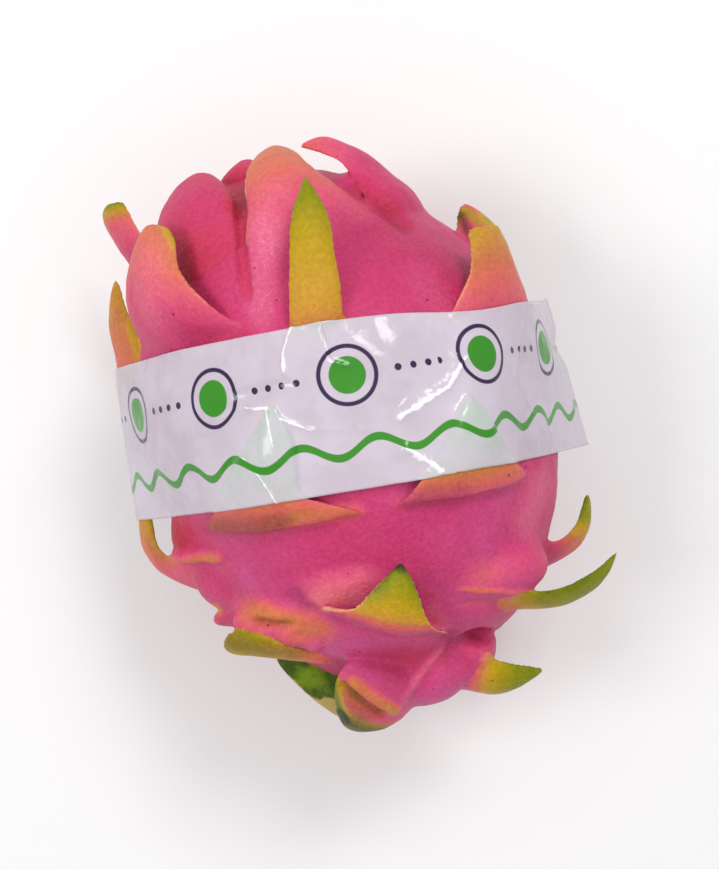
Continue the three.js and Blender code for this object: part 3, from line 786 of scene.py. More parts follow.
@dataclass
class Rind:
    """The whole fruit as one skin: the body, its swellings and its scales, grown together."""

    body_sides: int = 32  # corners of the body's rings
    bump_sides: tuple[int, int] = (32, 20)  # corners of a swelling, round and from pole to pole
    scale_sides: int = 12  # corners of a scale's rings
    smoothness: int = 2  # levels of subdivision that round the cages
    root_depth: float = 0.3  # how far a scale's root lies inside the body, as a share of the way to its axis
    inner_bow: float = 1.6  # how soon along a scale its inner face bows like its outer face
    grown_by: float = 1.5  # the ring, counted from a scale's buried root, at which it has its full tone
    edge_fall: int = 3  # how quickly the margins' own tone falls off
    inner_from: float = -0.1  # the cosine of the way round a scale below which its inner face begins
    line_from: float = 0.99  # the sine of it above which the margin line is
    lip_growth: float = 0.14  # the least share of length stored on a scale that starts at an edge
    voxel: float = 0.38 * MM  # fineness of the finished skin, in metres
    core_voxel: float = 1.1 * MM  # fineness of the body before the scales are joined to it, in metres
    most_faces: int = 190_000  # the most triangles the finished skin may have
    core_rounds: int = 12  # rounds of smoothing and blending for the body alone
    base_from: float = 0.02  # share of a scale's length up to which its base is relaxed in full
    base_over: float = 0.28  # share over which that fades out
    base_rounds: int = 50  # rounds of smoothing for the bases
    base_blend_to: float = 0.13  # share of length up to which the stored values are blended
    base_blends: int = 30  # rounds of blending for the bases
    last_rounds: int = 6  # rounds of smoothing for the whole skin
    seam_rounds: int = 14  # rounds of smoothing along the eave's margin
    seam_blend_from: float = 0.1  # how much of the seam's stroke a vertex must get to be blended
    seam_blends: int = 4  # rounds of blending there
    blends: int = 3  # rounds of blending for the whole skin
    clouds: tuple[Span, ...] = ((9.0, 0.9), (3.0, 0.1))  # size and rise of each soft unevenness, in millimetres
    # where the underside is flat: from and to along the fruit, and how high above the table
    flats: tuple[Point, ...] = ((-100.0, 100.0, 0.05), (-15.5, 21.5, 0.8))
    under_shares: tuple[float, ...] = (0.0, 0.35, 0.7, 1.0)  # where along an under scale its stations are
    under_end: float = 50.0  # the furthest place along the fruit at which the body's radius is read for them
    under_sink: float = 0.5  # how far their margins lie below the rind
    under_taper: float = 1.7  # how long they keep their width
    under_tip: float = 0.4  # half the width of their tips
    under_turn: float = 1.2  # the most that half a width may wrap round the body, in radians
    under_thinning: float = 0.7  # how much of their thickness they lose up to the tip
    under_arch: float = 0.12  # how much they bow
    under_colour: Ripening = Ripening(0.05, 0.85, 0.25, 1.0, 0.15)  # how their colour runs
    skin: Thing = field(init=False)

    def build(self) -> Thing:
        """Models the fruit.

        Returns:
            Its skin.
        """
        parts = [self._core()]
        parts += [self._scale(one) for one in (*UPPER_SCALES, *map(self._under, UNDER_SCALES))]
        whole = joined(parts, "fruit_cage")
        self.skin = copied(whole, "fruit_rind")
        self._fuse(whole)
        bpy.data.objects.remove(whole)
        return self.skin

    def _core(self) -> Thing:
        """Grows the body and its swellings together, and lets them sink softly into each other.

        Returns:
            The body with its swellings.
        """
        cage = joined([self._body(), *self._swellings()], "core_cage")
        core = copied(cage, "core")
        self._remesh(core, self.core_voxel)
        carry_growth(core, cage)
        relax(core, self.core_rounds)
        blend_growth(core, self.core_rounds)
        bpy.data.objects.remove(cage)
        return core

    def _remesh(self, thing: Thing, voxel: float) -> None:
        """Makes one skin of all that overlaps."""
        thing.data.color_attributes.remove(thing.data.color_attributes[GROWTH])
        apply_modifier(thing, "fuse", "REMESH", mode="VOXEL", voxel_size=voxel)

    def _grow(self, thing: Thing, values: list[Growth] | None = None) -> None:
        """Stores how a cage has grown.

        Args:
            thing: The cage.
            values: What each vertex gets. All get zeros where it is left out.
        """
        layer = thing.data.color_attributes.new(GROWTH, "FLOAT_COLOR", "POINT")
        values = values or [(0.0, 0.0, 0.0, 0.0)] * len(thing.data.vertices)
        layer.data.foreach_set("color", [number for value in values for number in value])

    def _body(self) -> Thing:
        """Turns the body from its profile.

        Returns:
            The body.
        """
        left, up = Vector((-1, 0, 0)), Vector((0, 0, 1))
        rings = [Ring(placed((shift, y, 0)), left, up, radius * MM, radius * MM) for y, radius, shift in BODY_PROFILE]
        body = loft("body", rings, self.body_sides)
        self._grow(body)
        round_off(body, self.smoothness)
        return body

    def _swellings(self) -> list[Thing]:
        """Adds the soft swellings of the body.

        Returns:
            One object for each.
        """
        made = []
        around, upright = self.bump_sides
        for centre, half_sizes in SWELLINGS:
            bpy.ops.object.select_all(action="DESELECT")
            bpy.ops.mesh.primitive_uv_sphere_add(segments=around, ring_count=upright, radius=MM,
                                                 location=placed(centre))
            bump = bpy.context.object
            bump.scale = half_sizes
            bpy.ops.object.transform_apply(location=True, rotation=True, scale=True)
            self._grow(bump)
            made.append(bump)
        return made

    def _under(self, one: UnderScale) -> Scale:
        """Works out the margins of a scale that lies against the rind.

        Args:
            one: The scale's place and size.

        Returns:
            The scale.
        """
        turn = math.radians(one.azimuth)
        stations = []
        for share in self.under_shares:
            y = one.base + one.length * share
            radius, shift = body_at(min(y, self.under_end))
            reach = radius + one.lift * share * share - self.under_sink
            width = max(one.half_width * (1 - share**self.under_taper), self.under_tip)
            margins = []
            for side in (1, -1):
                angle = turn - side * min(width / reach, self.under_turn)
                margins.append((shift + reach * math.sin(angle), y, reach * math.cos(angle)))
            stations.append(Station(*margins, one.thickness * (1 - self.under_thinning * share)))
        return Scale(f"under_{one.azimuth:.0f}", self.under_arch, self.under_colour, tuple(stations))

    def _buried(self, margin: Point) -> Point:
        """Moves a margin towards the body's axis, to bury a scale's root in the flesh.

        Args:
            margin: A margin at the scale's base.

        Returns:
            The same margin inside the body.
        """
        _, shift = body_at(margin[1])
        goal = (shift, margin[1], 0.0)
        return tuple(a + (b - a) * self.root_depth for a, b in zip(margin, goal))

    def _scale(self, one: Scale) -> Thing:
        """Lofts one scale from its stations and stores how its colour runs.

        Args:
            one: The scale.

        Returns:
            Its rounded cage.
        """
        base = one.stations[0]
        stations = (Station(self._buried(base.left), self._buried(base.right), base.thickness), *one.stations)
        lefts = [placed(s.left) for s in stations]
        rights = [placed(s.right) for s in stations]
        middles = [(a + b) / 2 for a, b in zip(lefts, rights)]
        rings = []
        for i, station in enumerate(stations):
            forward = middles[min(i + 1, len(middles) - 1)] - middles[max(i - 1, 0)]
            if i < 2 and not one.colour.ramp:  # the buried root and the base face straight along the fruit
                forward = Vector((0, 1, 0))
            across = rights[i] - lefts[i]
            outward = across.cross(forward).normalized()
            half_width = across.length / 2
            along = i / (len(stations) - 1)
            bow = one.arch * half_width
            inner_bow = bow * min(1.0, self.inner_bow * along)
            rings.append(Ring(middles[i], across.normalized(), outward, half_width,
                              station.thickness * MM / 2, bow, inner_bow))
        thing = loft(one.name, rings, self.scale_sides)
        self._grow(thing, self._colours(one.colour, len(rings)))
        round_off(thing, self.smoothness)
        return thing

    def _colours(self, colour: Ripening, rings: int) -> list[Growth]:
        """Works out what a scale's cage stores on each vertex.

        The tone added to the margins, the inner face and the margin line set in one after the other: they are full
        at a half, a third and a quarter of the length.

        Args:
            colour: How the scale's colour runs.
            rings: How many rings its cage has.

        Returns:
            Tone, inner face, margin and share of length, ring by ring.
        """
        values = []
        for ring in range(rings):
            along = max(ring - 1, 0) / (rings - 2)
            ripe = smooth_step(colour.start, colour.finish, along)
            grown = min(1.0, ring / self.grown_by)
            for corner in range(self.scale_sides):
                angle = 2 * math.pi * corner / self.scale_sides
                aside = abs(math.sin(angle))
                edge = colour.edge * aside**self.edge_fall * min(1.0, 2 * along)
                tone = colour.base + (colour.tip - colour.base) * ripe + edge
                inner = 1.0 if math.cos(angle) < self.inner_from else 0.0
                line = colour.line if aside > self.line_from else 0.0
                share = along if colour.ramp else self.lip_growth + (1 - self.lip_growth) * along
                values.append((tone * grown, inner * min(1.0, 3 * along), line * min(1.0, 4 * along), share))
        return values

    def _fuse(self, cage: Thing) -> None:
        """Fuses the joined parts into one skin, softens the bases of the scales and carries the colours over.

        Args:
            cage: A copy of the joined parts, whose stored values are copied to the skin.
        """
        skin = self.skin
        self._remesh(skin, self.voxel)
        carry_growth(skin, cage)
        self._soften_bases()
        self._touch_up()
        self._roughen()
        self._lay_flat()
        triangles = 2 * len(skin.data.polygons)
        if triangles > self.most_faces:
            apply_modifier(skin, "thin_out", "DECIMATE", ratio=self.most_faces / triangles)
        skin.data.shade_smooth()

    def _soften_bases(self) -> None:
        """Relaxes the skin where scales leave the body, and leaves their tips crisp."""
        along = read_growth(self.skin)[:, 3]
        weigh(self.skin, "base", 1 - np.clip((along - self.base_from) / self.base_over, 0, 1))
        relax(self.skin, self.base_rounds, "base")
        blend_growth(self.skin, self.base_blends, along < self.base_blend_to)
        relax(self.skin, self.last_rounds)
        self.skin.vertex_groups.clear()

    def _touch_up(self) -> None:
        """Draws folds and dimples into the skin, colours it round them, with painted light and painted shade in
        places, and evens out the eave's margin.
        """
        mesh = self.skin.data
        places = read_vectors(self.skin)
        normals = read_vectors(self.skin, "normal")
        own = own_places(self.skin)
        stored = read_growth(self.skin)
        stored[:, 3] = 0  # from here on, the fourth value is bloom and painted light, or brown and painted shade below 0
        for touch in TOUCHES:
            share = touch.share(own)
            stored[:, 0] += share * touch.tone
            stored[:, 3] += share * touch.bloom_and_painted_light
            places += normals * (share * touch.rise * MM)[:, None]
        mesh.vertices.foreach_set("co", places.ravel())
        store_growth(self.skin, stored)
        mesh.update()
        seam = SEAM.share(own)
        weigh(self.skin, "seam", np.clip(2 * seam, 0, 1))
        relax(self.skin, self.seam_rounds, "seam")
        self.skin.vertex_groups.clear()
        blend_growth(self.skin, self.seam_blends, seam > self.seam_blend_from)

    def _lay_flat(self) -> None:
        """Flattens what would reach below the table, or below the film where that runs under the fruit."""
        with editing(self.skin):
            for first, last, level in self.flats:
                bpy.ops.mesh.select_all(action="DESELECT")
                for corner in bmesh.from_edit_mesh(self.skin.data).verts:
                    corner.select = corner.co.z < level * MM and first * MM < corner.co.y < last * MM
                bpy.ops.transform.resize(value=(1, 1, 0), center_override=(0, 0, level * MM))

    def _roughen(self) -> None:
        """Gives the skin its soft unevenness and blends the stored values over their borders."""
        for size, rise in self.clouds:
            ruffle(self.skin, size, rise)
        blend_growth(self.skin, self.blends)


# ---- the stem's stub -------------------------------------------------------------------------------------------


@dataclass
class Stub:
    """The short piece of three-ribbed stem that was left on the fruit."""

    at: Point = (-13.4, -48.1, 1.0)  # a point on its axis
    direction: Point = (0.58, -0.81, 0.0)  # where its free end points
    up: Point = (0.0, 0.0, 1.0)  # where one of its flat sides faces
    # place along its axis and reach of the ribs, section by section
    steps: tuple[Span, ...] = ((-9.0, 7.2), (-4.0, 8.2), (3.0, 8.2), (9.0, 7.2), (13.0, 5.8), (14.0, 4.6))
    waist: float = 0.55  # how far the sides between the ribs reach, as a share of the ribs
    sides: int = 12  # corners of each section
    rib_cork: float = 0.66  # how corky the ribs' edges are, where the cut end is 1
    smoothness: int = 3  # levels of subdivision that round it

    def build(self) -> Thing:
        """Models the stub and marks its cut end and rib edges as corky.

        Returns:
            The stub.
        """
        forward = Vector(self.direction).normalized()
        outward = Vector(self.up)
        across = outward.cross(forward)
        rings = []
        for away, radius in self.steps:
            centre = placed(tuple(Vector(self.at) + forward * away))
            rings.append(Ring(centre, across, outward, radius * MM, radius * MM))
        stub = loft("stem_stub_looks", rings, self.sides)
        self._pinch(stub, rings)
        marks = []
        for ring in range(len(rings)):
            cut = ring >= len(rings) - 2
            for corner in range(self.sides):
                torn = ring == len(rings) - 3 and abs(corner - self.sides // 4) < 2
                marks.append(1.0 if cut or torn else self.rib_cork * self._on_rib(corner))
        stub.data.attributes.new("cork", "FLOAT", "POINT").data.foreach_set("value", marks)
        round_off(stub, self.smoothness)
        stub.data.shade_smooth()
        return stub

    def _on_rib(self, corner: int) -> bool:
        """Tells whether a corner of a section is on one of the three ribs."""
        return corner % (self.sides // 3) == self.sides // 4

    def _pinch(self, stub: Thing, rings: list[Ring]) -> None:
        """Draws the sides between the ribs in towards the middle.

        Args:
            stub: The lofted stub.
            rings: The rings that it was lofted from.
        """
        with editing(stub):
            for index, ring in enumerate(rings):
                bpy.ops.mesh.select_all(action="DESELECT")
                grid = bmesh.from_edit_mesh(stub.data)
                grid.verts.ensure_lookup_table()
                for corner in range(self.sides):
                    if not self._on_rib(corner):
                        grid.verts[index * self.sides + corner].select = True
                bpy.ops.transform.resize(value=(self.waist,) * 3, center_override=ring.centre)


# ---- the film --------------------------------------------------------------------------------------------------


@dataclass(frozen=True)
class Crease:
    """A fold in the film, in the fruit's millimetres as seen from above.

    Attributes:
        start: Where it begins, across and along.
        end: Where it ends.
        rise: How high its ridge stands, or how deep its furrow is where that is below 0.
        width: How wide it is.
    """

    start: Span
    end: Span
    rise: float
    width: float


CREASES = (
    Crease((-6.5, 19.6), (-8.9, 14.7), 0.8, 0.5),
    Crease((-8.9, 14.7), (-9.3, 11.2), 0.7, 0.45),
    Crease((-1.1, 19.4), (-0.4, 11.7), 0.7, 0.4),
    Crease((-0.4, 11.7), (2.7, 10.3), 0.7, 0.5),
    Crease((-17.7, 5.9), (-13.0, 5.1), 0.6, 0.45),
    Crease((-13.6, 4.7), (-13.3, -2.0), 0.6, 0.4),
    Crease((-11.1, 2.7), (-6.0, -0.2), 0.6, 0.4),
    Crease((-6.0, -0.2), (3.8, -1.6), 0.5, 0.4),
    Crease((-19.3, -3.4), (-16.7, -7.3), 0.7, 0.45),
    Crease((-16.7, -7.3), (-14.4, -12.8), 0.7, 0.45),
    Crease((10.6, -0.5), (20.5, 3.9), 0.6, 0.7),
    Crease((10.9, -6.4), (16.5, -11.5), 0.8, 1.0),
    Crease((20.5, 3.9), (24.8, 9.5), 0.6, 0.5),
    Crease((21.5, -2.5), (19.5, -12.2), 0.5, 0.5),
    Crease((-24.0, 6.5), (-17.7, 5.9), -0.5, 0.9),
    Crease((-34.5, 9.0), (-36.5, -9.0), 0.5, 0.6),
    Crease((38.0, 14.0), (34.5, 4.0), 0.5, 0.5),
    Crease((34.5, 4.0), (38.5, -8.0), 0.5, 0.5),
)


@dataclass
class Film:
    """A sleeve of printed film that was drawn over the fruit's waist."""

    low_end: float = -12.8  # place of its lower edge along the fruit
    width: float = 32.1  # its width along the fruit
    aside: float = 1.0  # how far its middle lies to the right of the fruit's axis
    start_radius: float = 62.0  # radius of the round sleeve that it is made from
    columns: int = 560  # vertices round it
    rows: int = 60  # steps along it
    crowding: float = 0.35  # how much closer the columns stand on the upper side
    form_point: float = 0.4  # size of the small cubes that hold out the form's side crease
    slack: float = 1.3  # how far it sags between the places that hold it out
    slack_size: float = 16.0  # how broad those sags are
    loose_from: float = 12.0  # height above the fruit's axis from which it may sag
    loose_over: float = 16.0  # height over which it becomes quite loose
    sag: Point = (30.0, 13.0, 2.1)  # middle, reach and depth of the bow in its upper edge
    painted_highlight_from: float = 0.55  # the least rise of a crease along whose ridge a white painted highlight is laid
    clearance: float = 0.35  # its distance from the skin
    # where round a vertex the skin is felt for, along the fruit and around it
    feelers: tuple[Span, ...] = ((0.0, 0.0), (0.4, 0.0), (-0.4, 0.0), (0.0, 0.3), (0.0, -0.3))
    feeler_start: float = 70.0  # how far out that begins
    settle_rounds: int = 2  # rounds of smoothing after it has been moved clear of the skin
    touch_share: float = 1.3  # how plainly the skin shows through where the film lies on it, before it is held to 1
    touch_gap: float = 2.2  # the gap over which it fades by 1
    touch_blends: int = 10  # rounds of blending for that
    table_reach: float = 0.9  # what lies lower than this over the table is laid on it
    thickness: float = 0.12  # thickness of the shell
    map_end: float = 0.1  # share of the way round within which a face may cross the map's ends
    crease: tuple[Point, Point] = ((50.2, -13.0, -7.0), (46.4, 19.4, -5.0))  # the two ends of its folded side edge
    girth: float = field(init=False, default=0.0)  # its length round the fruit in metres, once it is built

    def build(self, fruit: Thing) -> Thing:
        """Wraps the film round the fruit.

        Args:
            fruit: The finished skin, which the film lies on.

        Returns:
            The film as a thin closed shell.
        """
        form = self._form(fruit)
        film = self._sleeve()
        apply_modifier(film, "wrap", "SHRINKWRAP", target=form, wrap_method="PROJECT", use_positive_direction=False,
                       use_negative_direction=True, offset=self.clearance * MM)
        bpy.data.objects.remove(form)
        self._fold(film)
        weigh(film, "loose", np.clip((own_places(film)[:, 2] - self.loose_from) / self.loose_over, 0, 1))
        ruffle(film, self.slack_size, self.slack, 1.0, "loose")
        film.vertex_groups.clear()
        tree = BVHTree.FromObject(fruit, bpy.context.evaluated_depsgraph_get())
        self._clear(film, tree)
        relax(film, self.settle_rounds)
        gaps = self._clear(film, tree)
        self._lay_flat(film)
        self._map(film)
        carry_growth(film, fruit)
        self._show_through(film, gaps)
        apply_modifier(film, "gauge", "SOLIDIFY", thickness=self.thickness * MM, offset=0.0)
        film.data.shade_smooth()
        return film

    def _form(self, fruit: Thing) -> Thing:
        """Makes the tight form that the film takes round the waist and its side crease.

        Args:
            fruit: The finished skin.

        Returns:
            The form, to be thrown away once the film has it.
        """
        form = copied(fruit, "film_form")
        for y, side in ((self.low_end - 1, -1), (self.low_end + self.width + 1, 1)):
            with editing(form):
                bpy.ops.mesh.select_all(action="SELECT")
                bpy.ops.mesh.bisect(plane_co=(0, y * MM, 0), plane_no=(0, side, 0), clear_outer=True)
        with editing(form):
            for point in self.crease:
                bpy.ops.mesh.primitive_cube_add(size=self.form_point * MM, location=placed(point))
            bpy.ops.mesh.select_all(action="SELECT")
            bpy.ops.mesh.convex_hull()
        return form

    def _sleeve(self) -> Thing:
        """Makes a round open sleeve wide of the fruit, cut into rows.

        Returns:
            The sleeve.
        """
        bpy.ops.object.select_all(action="DESELECT")
        bpy.ops.mesh.primitive_cylinder_add(
            vertices=self.columns, radius=self.start_radius * MM, depth=self.width * MM, end_fill_type="NOTHING",
            location=placed((self.aside, self.low_end + self.width / 2, 0)), rotation=(math.pi / 2, 0, 0))
        film = bpy.context.object
        film.name = "film_sleeve"
        bpy.ops.object.transform_apply(location=True, rotation=True, scale=True)
        with editing(film):
            for edge in bmesh.from_edit_mesh(film.data).edges:
                edge.select = abs(edge.verts[0].co.y - edge.verts[1].co.y) > self.width * MM / 2
            bpy.ops.mesh.subdivide(number_cuts=self.rows - 1)
        self._crowd(film)
        return film

    def _crowd(self, film: Thing) -> None:
        """Moves the sleeve's columns closer together on its upper side, where its folds are.

        Args:
            film: The round sleeve.
        """
        places = own_places(film) - (self.aside, 0, 0)
        radius = np.hypot(places[:, 0], places[:, 2])
        turn = np.arctan2(places[:, 0], places[:, 2])
        turn -= self.crowding * np.sin(turn)
        places[:, 0] = radius * np.sin(turn) + self.aside
        places[:, 2] = radius * np.cos(turn)
        self._place(film, places)

    def _place(self, film: Thing, places: np.ndarray) -> None:
        """Moves the film's vertices to these places, given in the fruit's millimetres."""
        film.data.vertices.foreach_set("co", ((places + (0, 0, AXIS_HEIGHT)) * MM).ravel())
        film.data.update()

    def _fold(self, film: Thing) -> None:
        """Draws the creases into the film's top, lets its upper edge sag and marks where painted highlights go on the
        crease ridges.

        Args:
            film: The film on its form.
        """
        places = own_places(film)
        outward = places * (1, 0, 1)
        outward /= np.linalg.norm(outward, axis=1)[:, None]
        rise = np.zeros(len(places))
        painted_highlight = np.zeros(len(places))
        for crease in CREASES:
            start = np.array(crease.start)
            along = np.array(crease.end) - start
            share = np.clip((places[:, :2] - start) @ along / (along @ along), 0, 1)
            off = np.linalg.norm(places[:, :2] - start - share[:, None] * along, axis=1)
            ridge = crease.rise * np.exp(-off / crease.width)
            rise = np.where(np.abs(ridge) > np.abs(rise), ridge, rise)
            # painted highlights along the ridges of the taller creases
            if crease.rise > self.painted_highlight_from:
                painted_highlight = np.maximum(painted_highlight, np.exp(-off / crease.width) * (places[:, 2] > 0))
        rise *= places[:, 2] > 0
        for touch in FILM_TOUCHES:
            rise += touch.rise * touch.share(places)
        places += outward * rise[:, None]
        middle, reach, depth = self.sag
        share = np.clip((places[:, 1] - self.low_end) / self.width, 0, 1) ** 2 * (places[:, 2] > 0)
        places[:, 1] -= depth * share * np.exp(-(((places[:, 0] - middle) / reach) ** 2))
        self._place(film, places)
        film.data.attributes.new("painted_highlight", "FLOAT", "POINT").data.foreach_set("value", painted_highlight)

    def _show_through(self, film: Thing, gaps: np.ndarray) -> None:
        """Keeps the colour of the skin below only where the film lies against it.

        Args:
            film: The film, with the fruit's values carried over.
            gaps: How far it is off the skin at each vertex, in millimetres.
        """
        stored = read_growth(film)
        stored[:, 3] = np.clip(self.touch_share - gaps / self.touch_gap, 0, 1)
        stored[:, 0] *= stored[:, 3]
        store_growth(film, stored)
        blend_growth(film, self.touch_blends)

    def _clear(self, film: Thing, tree: BVHTree) -> np.ndarray:
        """Moves the film out where it would sink into the fruit, along lines from the fruit's middle.

        Args:
            film: The film.
            tree: The fruit's skin, to be struck by rays.

        Returns:
            How far the film is off the fruit at each vertex, in millimetres.
        """
        places = own_places(film)
        outward = (places - (self.aside, 0, 0)) * (1, 0, 1)
        reach = np.linalg.norm(outward, axis=1)
        outward /= reach[:, None]
        middle = places - outward * reach[:, None]
        around = np.cross(outward, (0, 1, 0))
        skin = np.zeros(len(places))
        for along, beside in self.feelers:
            starts = middle + outward * self.feeler_start + around * beside + (0, along, 0)
            for index, (start, way) in enumerate(zip(starts, outward)):
                _, _, _, travelled = tree.ray_cast(placed(start), Vector(-way), self.feeler_start * MM)
                if travelled is not None:
                    skin[index] = max(skin[index], self.feeler_start - travelled / MM)
        reach = np.maximum(reach, skin + self.clearance)
        self._place(film, middle + outward * reach[:, None])
        return reach - skin

    def _lay_flat(self, film: Thing) -> None:
        """Lays the film's underside flat on the table.

        Args:
            film: The film clear of the fruit.
        """
        places = own_places(film)
        height = places[:, 2] + AXIS_HEIGHT
        places[:, 2] = np.where(height < self.table_reach, self.thickness / 2, height) - AXIS_HEIGHT
        self._place(film, places)

    def _map(self, film: Thing) -> None:
        """Lays the print's map on the film, true to its length round the fruit.

        Args:
            film: The film in its last shape.
        """
        places = own_places(film)
        turn = np.arctan2(places[:, 0] - self.aside, places[:, 2])
        middle = np.argsort(np.abs(places[:, 1] - self.low_end - self.width / 2))[: self.columns]
        order = middle[np.argsort(turn[middle])]
        around = places[order]
        steps = np.linalg.norm(np.roll(around, -1, axis=0) - around, axis=1)
        self.girth = float(steps.sum()) * MM
        travelled = np.concatenate(([0.0], np.cumsum(steps)[:-1])) / steps.sum()
        share = np.interp(turn, turn[order], travelled)
        height = (places[:, 1] - self.low_end) / self.width
        layer = film.data.uv_layers.new(name="film")
        film.data.uv_layers.active = layer
        corners = np.empty(len(film.data.loops), int)
        film.data.loops.foreach_get("vertex_index", corners)
        faces = np.repeat(np.arange(len(film.data.polygons)), 4)
        u = share[corners]
        furthest = np.zeros(len(film.data.polygons))
        np.maximum.at(furthest, faces, u)
        u = np.where((furthest[faces] > 1 - self.map_end) & (u < self.map_end), u + 1, u)
        layer.data.foreach_set("uv", np.stack([u, height[corners]], axis=1).ravel())


# ---- materials -------------------------------------------------------------------------------------------------


class Nodes:
    """Short ways to place and link the nodes of one tree."""

    def __init__(self, tree: bpy.types.NodeTree) -> None:
        """Starts on an emptied tree."""
        self.tree = tree
        tree.nodes.clear()

    def add(self, kind: str, **settings: object) -> bpy.types.Node:
        """Places a node.

        Args:
            kind: Blender's type of node.
            **settings: Values for the node's own fields.

        Returns:
            The node.
        """
        node = self.tree.nodes.new(kind)
        for key, value in settings.items():
            setattr(node, key, value)
        return node

    def link(self, source: Socket, target: Socket) -> None:
        """Links an output to an input."""
        self.tree.links.new(source, target)

    def fill(self, node: bpy.types.Node, values: dict[str | int, object]) -> None:
        """Links a node's inputs to sockets, or sets plain values on them.

        Args:
            node: The node.
            values: A socket or a value for each input, by the input's name or number.
        """
        for key, value in values.items():
            if isinstance(value, Socket):
                self.link(value, node.inputs[key])
            else:
                node.inputs[key].default_value = value

    def put(self, kind: str, values: dict[str | int, object], output: str | int = 0, **settings: object) -> Socket:
        """Places a node and fills its inputs.

        Args:
            kind: Blender's type of node.
            values: A socket or a value for each input, by the input's name or number.
            output: Name or number of the output that is wanted.
            **settings: Values for the node's own fields.

        Returns:
            That output.
        """
        node = self.add(kind, **settings)
        self.fill(node, values)
        return node.outputs[output]

    def math(self, operation: str, *values: object, clamp: bool = False) -> Socket:
        """Computes a number from sockets or plain numbers."""
        return self.put("ShaderNodeMath", dict(enumerate(values)), operation=operation, use_clamp=clamp)

    def times(self, first: object, second: object, clamp: bool = False) -> Socket:
        """Multiplies two numbers."""
        return self.math("MULTIPLY", first, second, clamp=clamp)

    def line(self, value: object, slope: object, start: object, clamp: bool = False) -> Socket:
        """Adds slope times a value to a start."""
        return self.math("MULTIPLY_ADD", value, slope, start, clamp=clamp)

    def swing(self, noise: object, width: float, start: object = 0.0) -> Socket:
        """Lets a noise of 0 to 1 swing by a width about a start."""
        return self.line(self.math("SUBTRACT", noise, 0.5), width, start)

    def distance(self, first: object, second: object) -> Socket:
        """Gives the distance that two numbers at right angles make."""
        return self.math("SQRT", self.math("ADD", self.math("POWER", first, 2.0), self.math("POWER", second, 2.0)))

    def step(self, value: object, low: float, high: float) -> Socket:
        """Rises smoothly from 0 where value is low to 1 where it is high."""
        limits = {"Value": value, "From Min": low, "From Max": high}
        return self.put("ShaderNodeMapRange", limits, "Result", interpolation_type="SMOOTHSTEP")

    def mix(self, share: object, first: object, second: object) -> Socket:
        """Mixes two colours by a share."""
        return self.put("ShaderNodeMix", {0: share, 6: first, 7: second}, 2, data_type="RGBA")

    @cached_property
    def place(self) -> Socket:
        """The place on the object, in metres."""
        return self.add("ShaderNodeTexCoord").outputs["Object"]

    def noise(self, scale: object, detail: float = 3.0, rough: float = 0.5, place: Socket | None = None) -> Socket:
        """Gives a noise of about 0 to 1 over the object, or over another place."""
        where = self.place if place is None else place
        look = {"Vector": where, "Scale": scale, "Detail": detail, "Roughness": rough}
        return self.put("ShaderNodeTexNoise", look, "Fac")

    def grain(self, scale: float, strength: float, depth: float) -> Socket:
        """Gives normals roughened by the shared grain, so fine, so plain and so deep (in metres)."""
        height = self.put("ShaderNodeGroup", {"Place": self.place, "Scale": scale}, node_tree=grain_group())
        return self.put("ShaderNodeBump", {"Strength": strength, "Distance": depth, "Height": height})

    def attribute(self, name: str) -> Socket:
        """Reads a number stored on the mesh."""
        return self.add("ShaderNodeAttribute", attribute_name=name).outputs["Fac"]

    def growth(self) -> tuple[Socket, ...]:
        """Reads what is stored on the mesh of how the fruit has grown.

        Returns:
            Tone, inner face, margin line and the fourth value.
        """
        stored = self.add("ShaderNodeAttribute", attribute_name=GROWTH)
        parts = self.add("ShaderNodeSeparateColor")
        self.link(stored.outputs["Color"], parts.inputs[0])
        return (*parts.outputs[:3], stored.outputs["Alpha"])

    def ripeness(self, tone: object) -> Socket:
        """Turns a tone, which is 0 on the body, into a place on a run of colours."""
        return self.line(tone, 1 - BODY_TONE_AT, BODY_TONE_AT, clamp=True)

    def ramp(self, value: object, stops: tuple[tuple[float, Colour], ...]) -> Socket:
        """Reads a colour off a run of colours.

        Args:
            value: The place on the run, from 0 to 1.
            stops: Places and their colours.

        Returns:
            The colour there.
        """
        node = self.add("ShaderNodeValToRGB")
        elements = node.color_ramp.elements
        while len(elements) < len(stops):
            elements.new(0.5)
        for element, (place, colour) in zip(elements, stops):
            element.position = place
            element.color = colour
        self.fill(node, {0: value})
        return node.outputs[0]


def new_material(name: str) -> tuple[bpy.types.Material, Nodes, bpy.types.Node]:
    """Makes a material with a Principled shader.

    Args:
        name: The material's name.

    Returns:
        The material, its nodes and its shader.
    """
    material = bpy.data.materials.new(name)
    material.use_nodes = True
    nodes = Nodes(material.node_tree)
    shader = nodes.add("ShaderNodeBsdfPrincipled")
    nodes.fill(nodes.add("ShaderNodeOutputMaterial"), {0: shader.outputs[0]})
    return material, nodes, shader


def grain_group() -> bpy.types.NodeTree:
    """Gives the fine grain that all the finishes share, and makes it the first time.

    Returns:
        A node group that turns a place and a scale into a height of about 0 to 1.
    """
    known = bpy.data.node_groups.get("grain")
    if known is not None:
        return known
    group = bpy.data.node_groups.new("grain", "ShaderNodeTree")
    group.interface.new_socket(name="Place", in_out="INPUT", socket_type="NodeSocketVector")
    group.interface.new_socket(name="Scale", in_out="INPUT", socket_type="NodeSocketFloat")
    group.interface.new_socket(name="Height", in_out="OUTPUT", socket_type="NodeSocketFloat")
    nodes = Nodes(group)
    given = nodes.add("NodeGroupInput")
    made = nodes.add("NodeGroupOutput")
    place, scale = given.outputs[:2]
    broad, fine = (nodes.noise(nodes.times(scale, finer), place=place) for finer in (1.0, 3.3))
    nodes.link(nodes.line(broad, 0.35, nodes.times(fine, 0.65)), made.inputs[0])
    return group


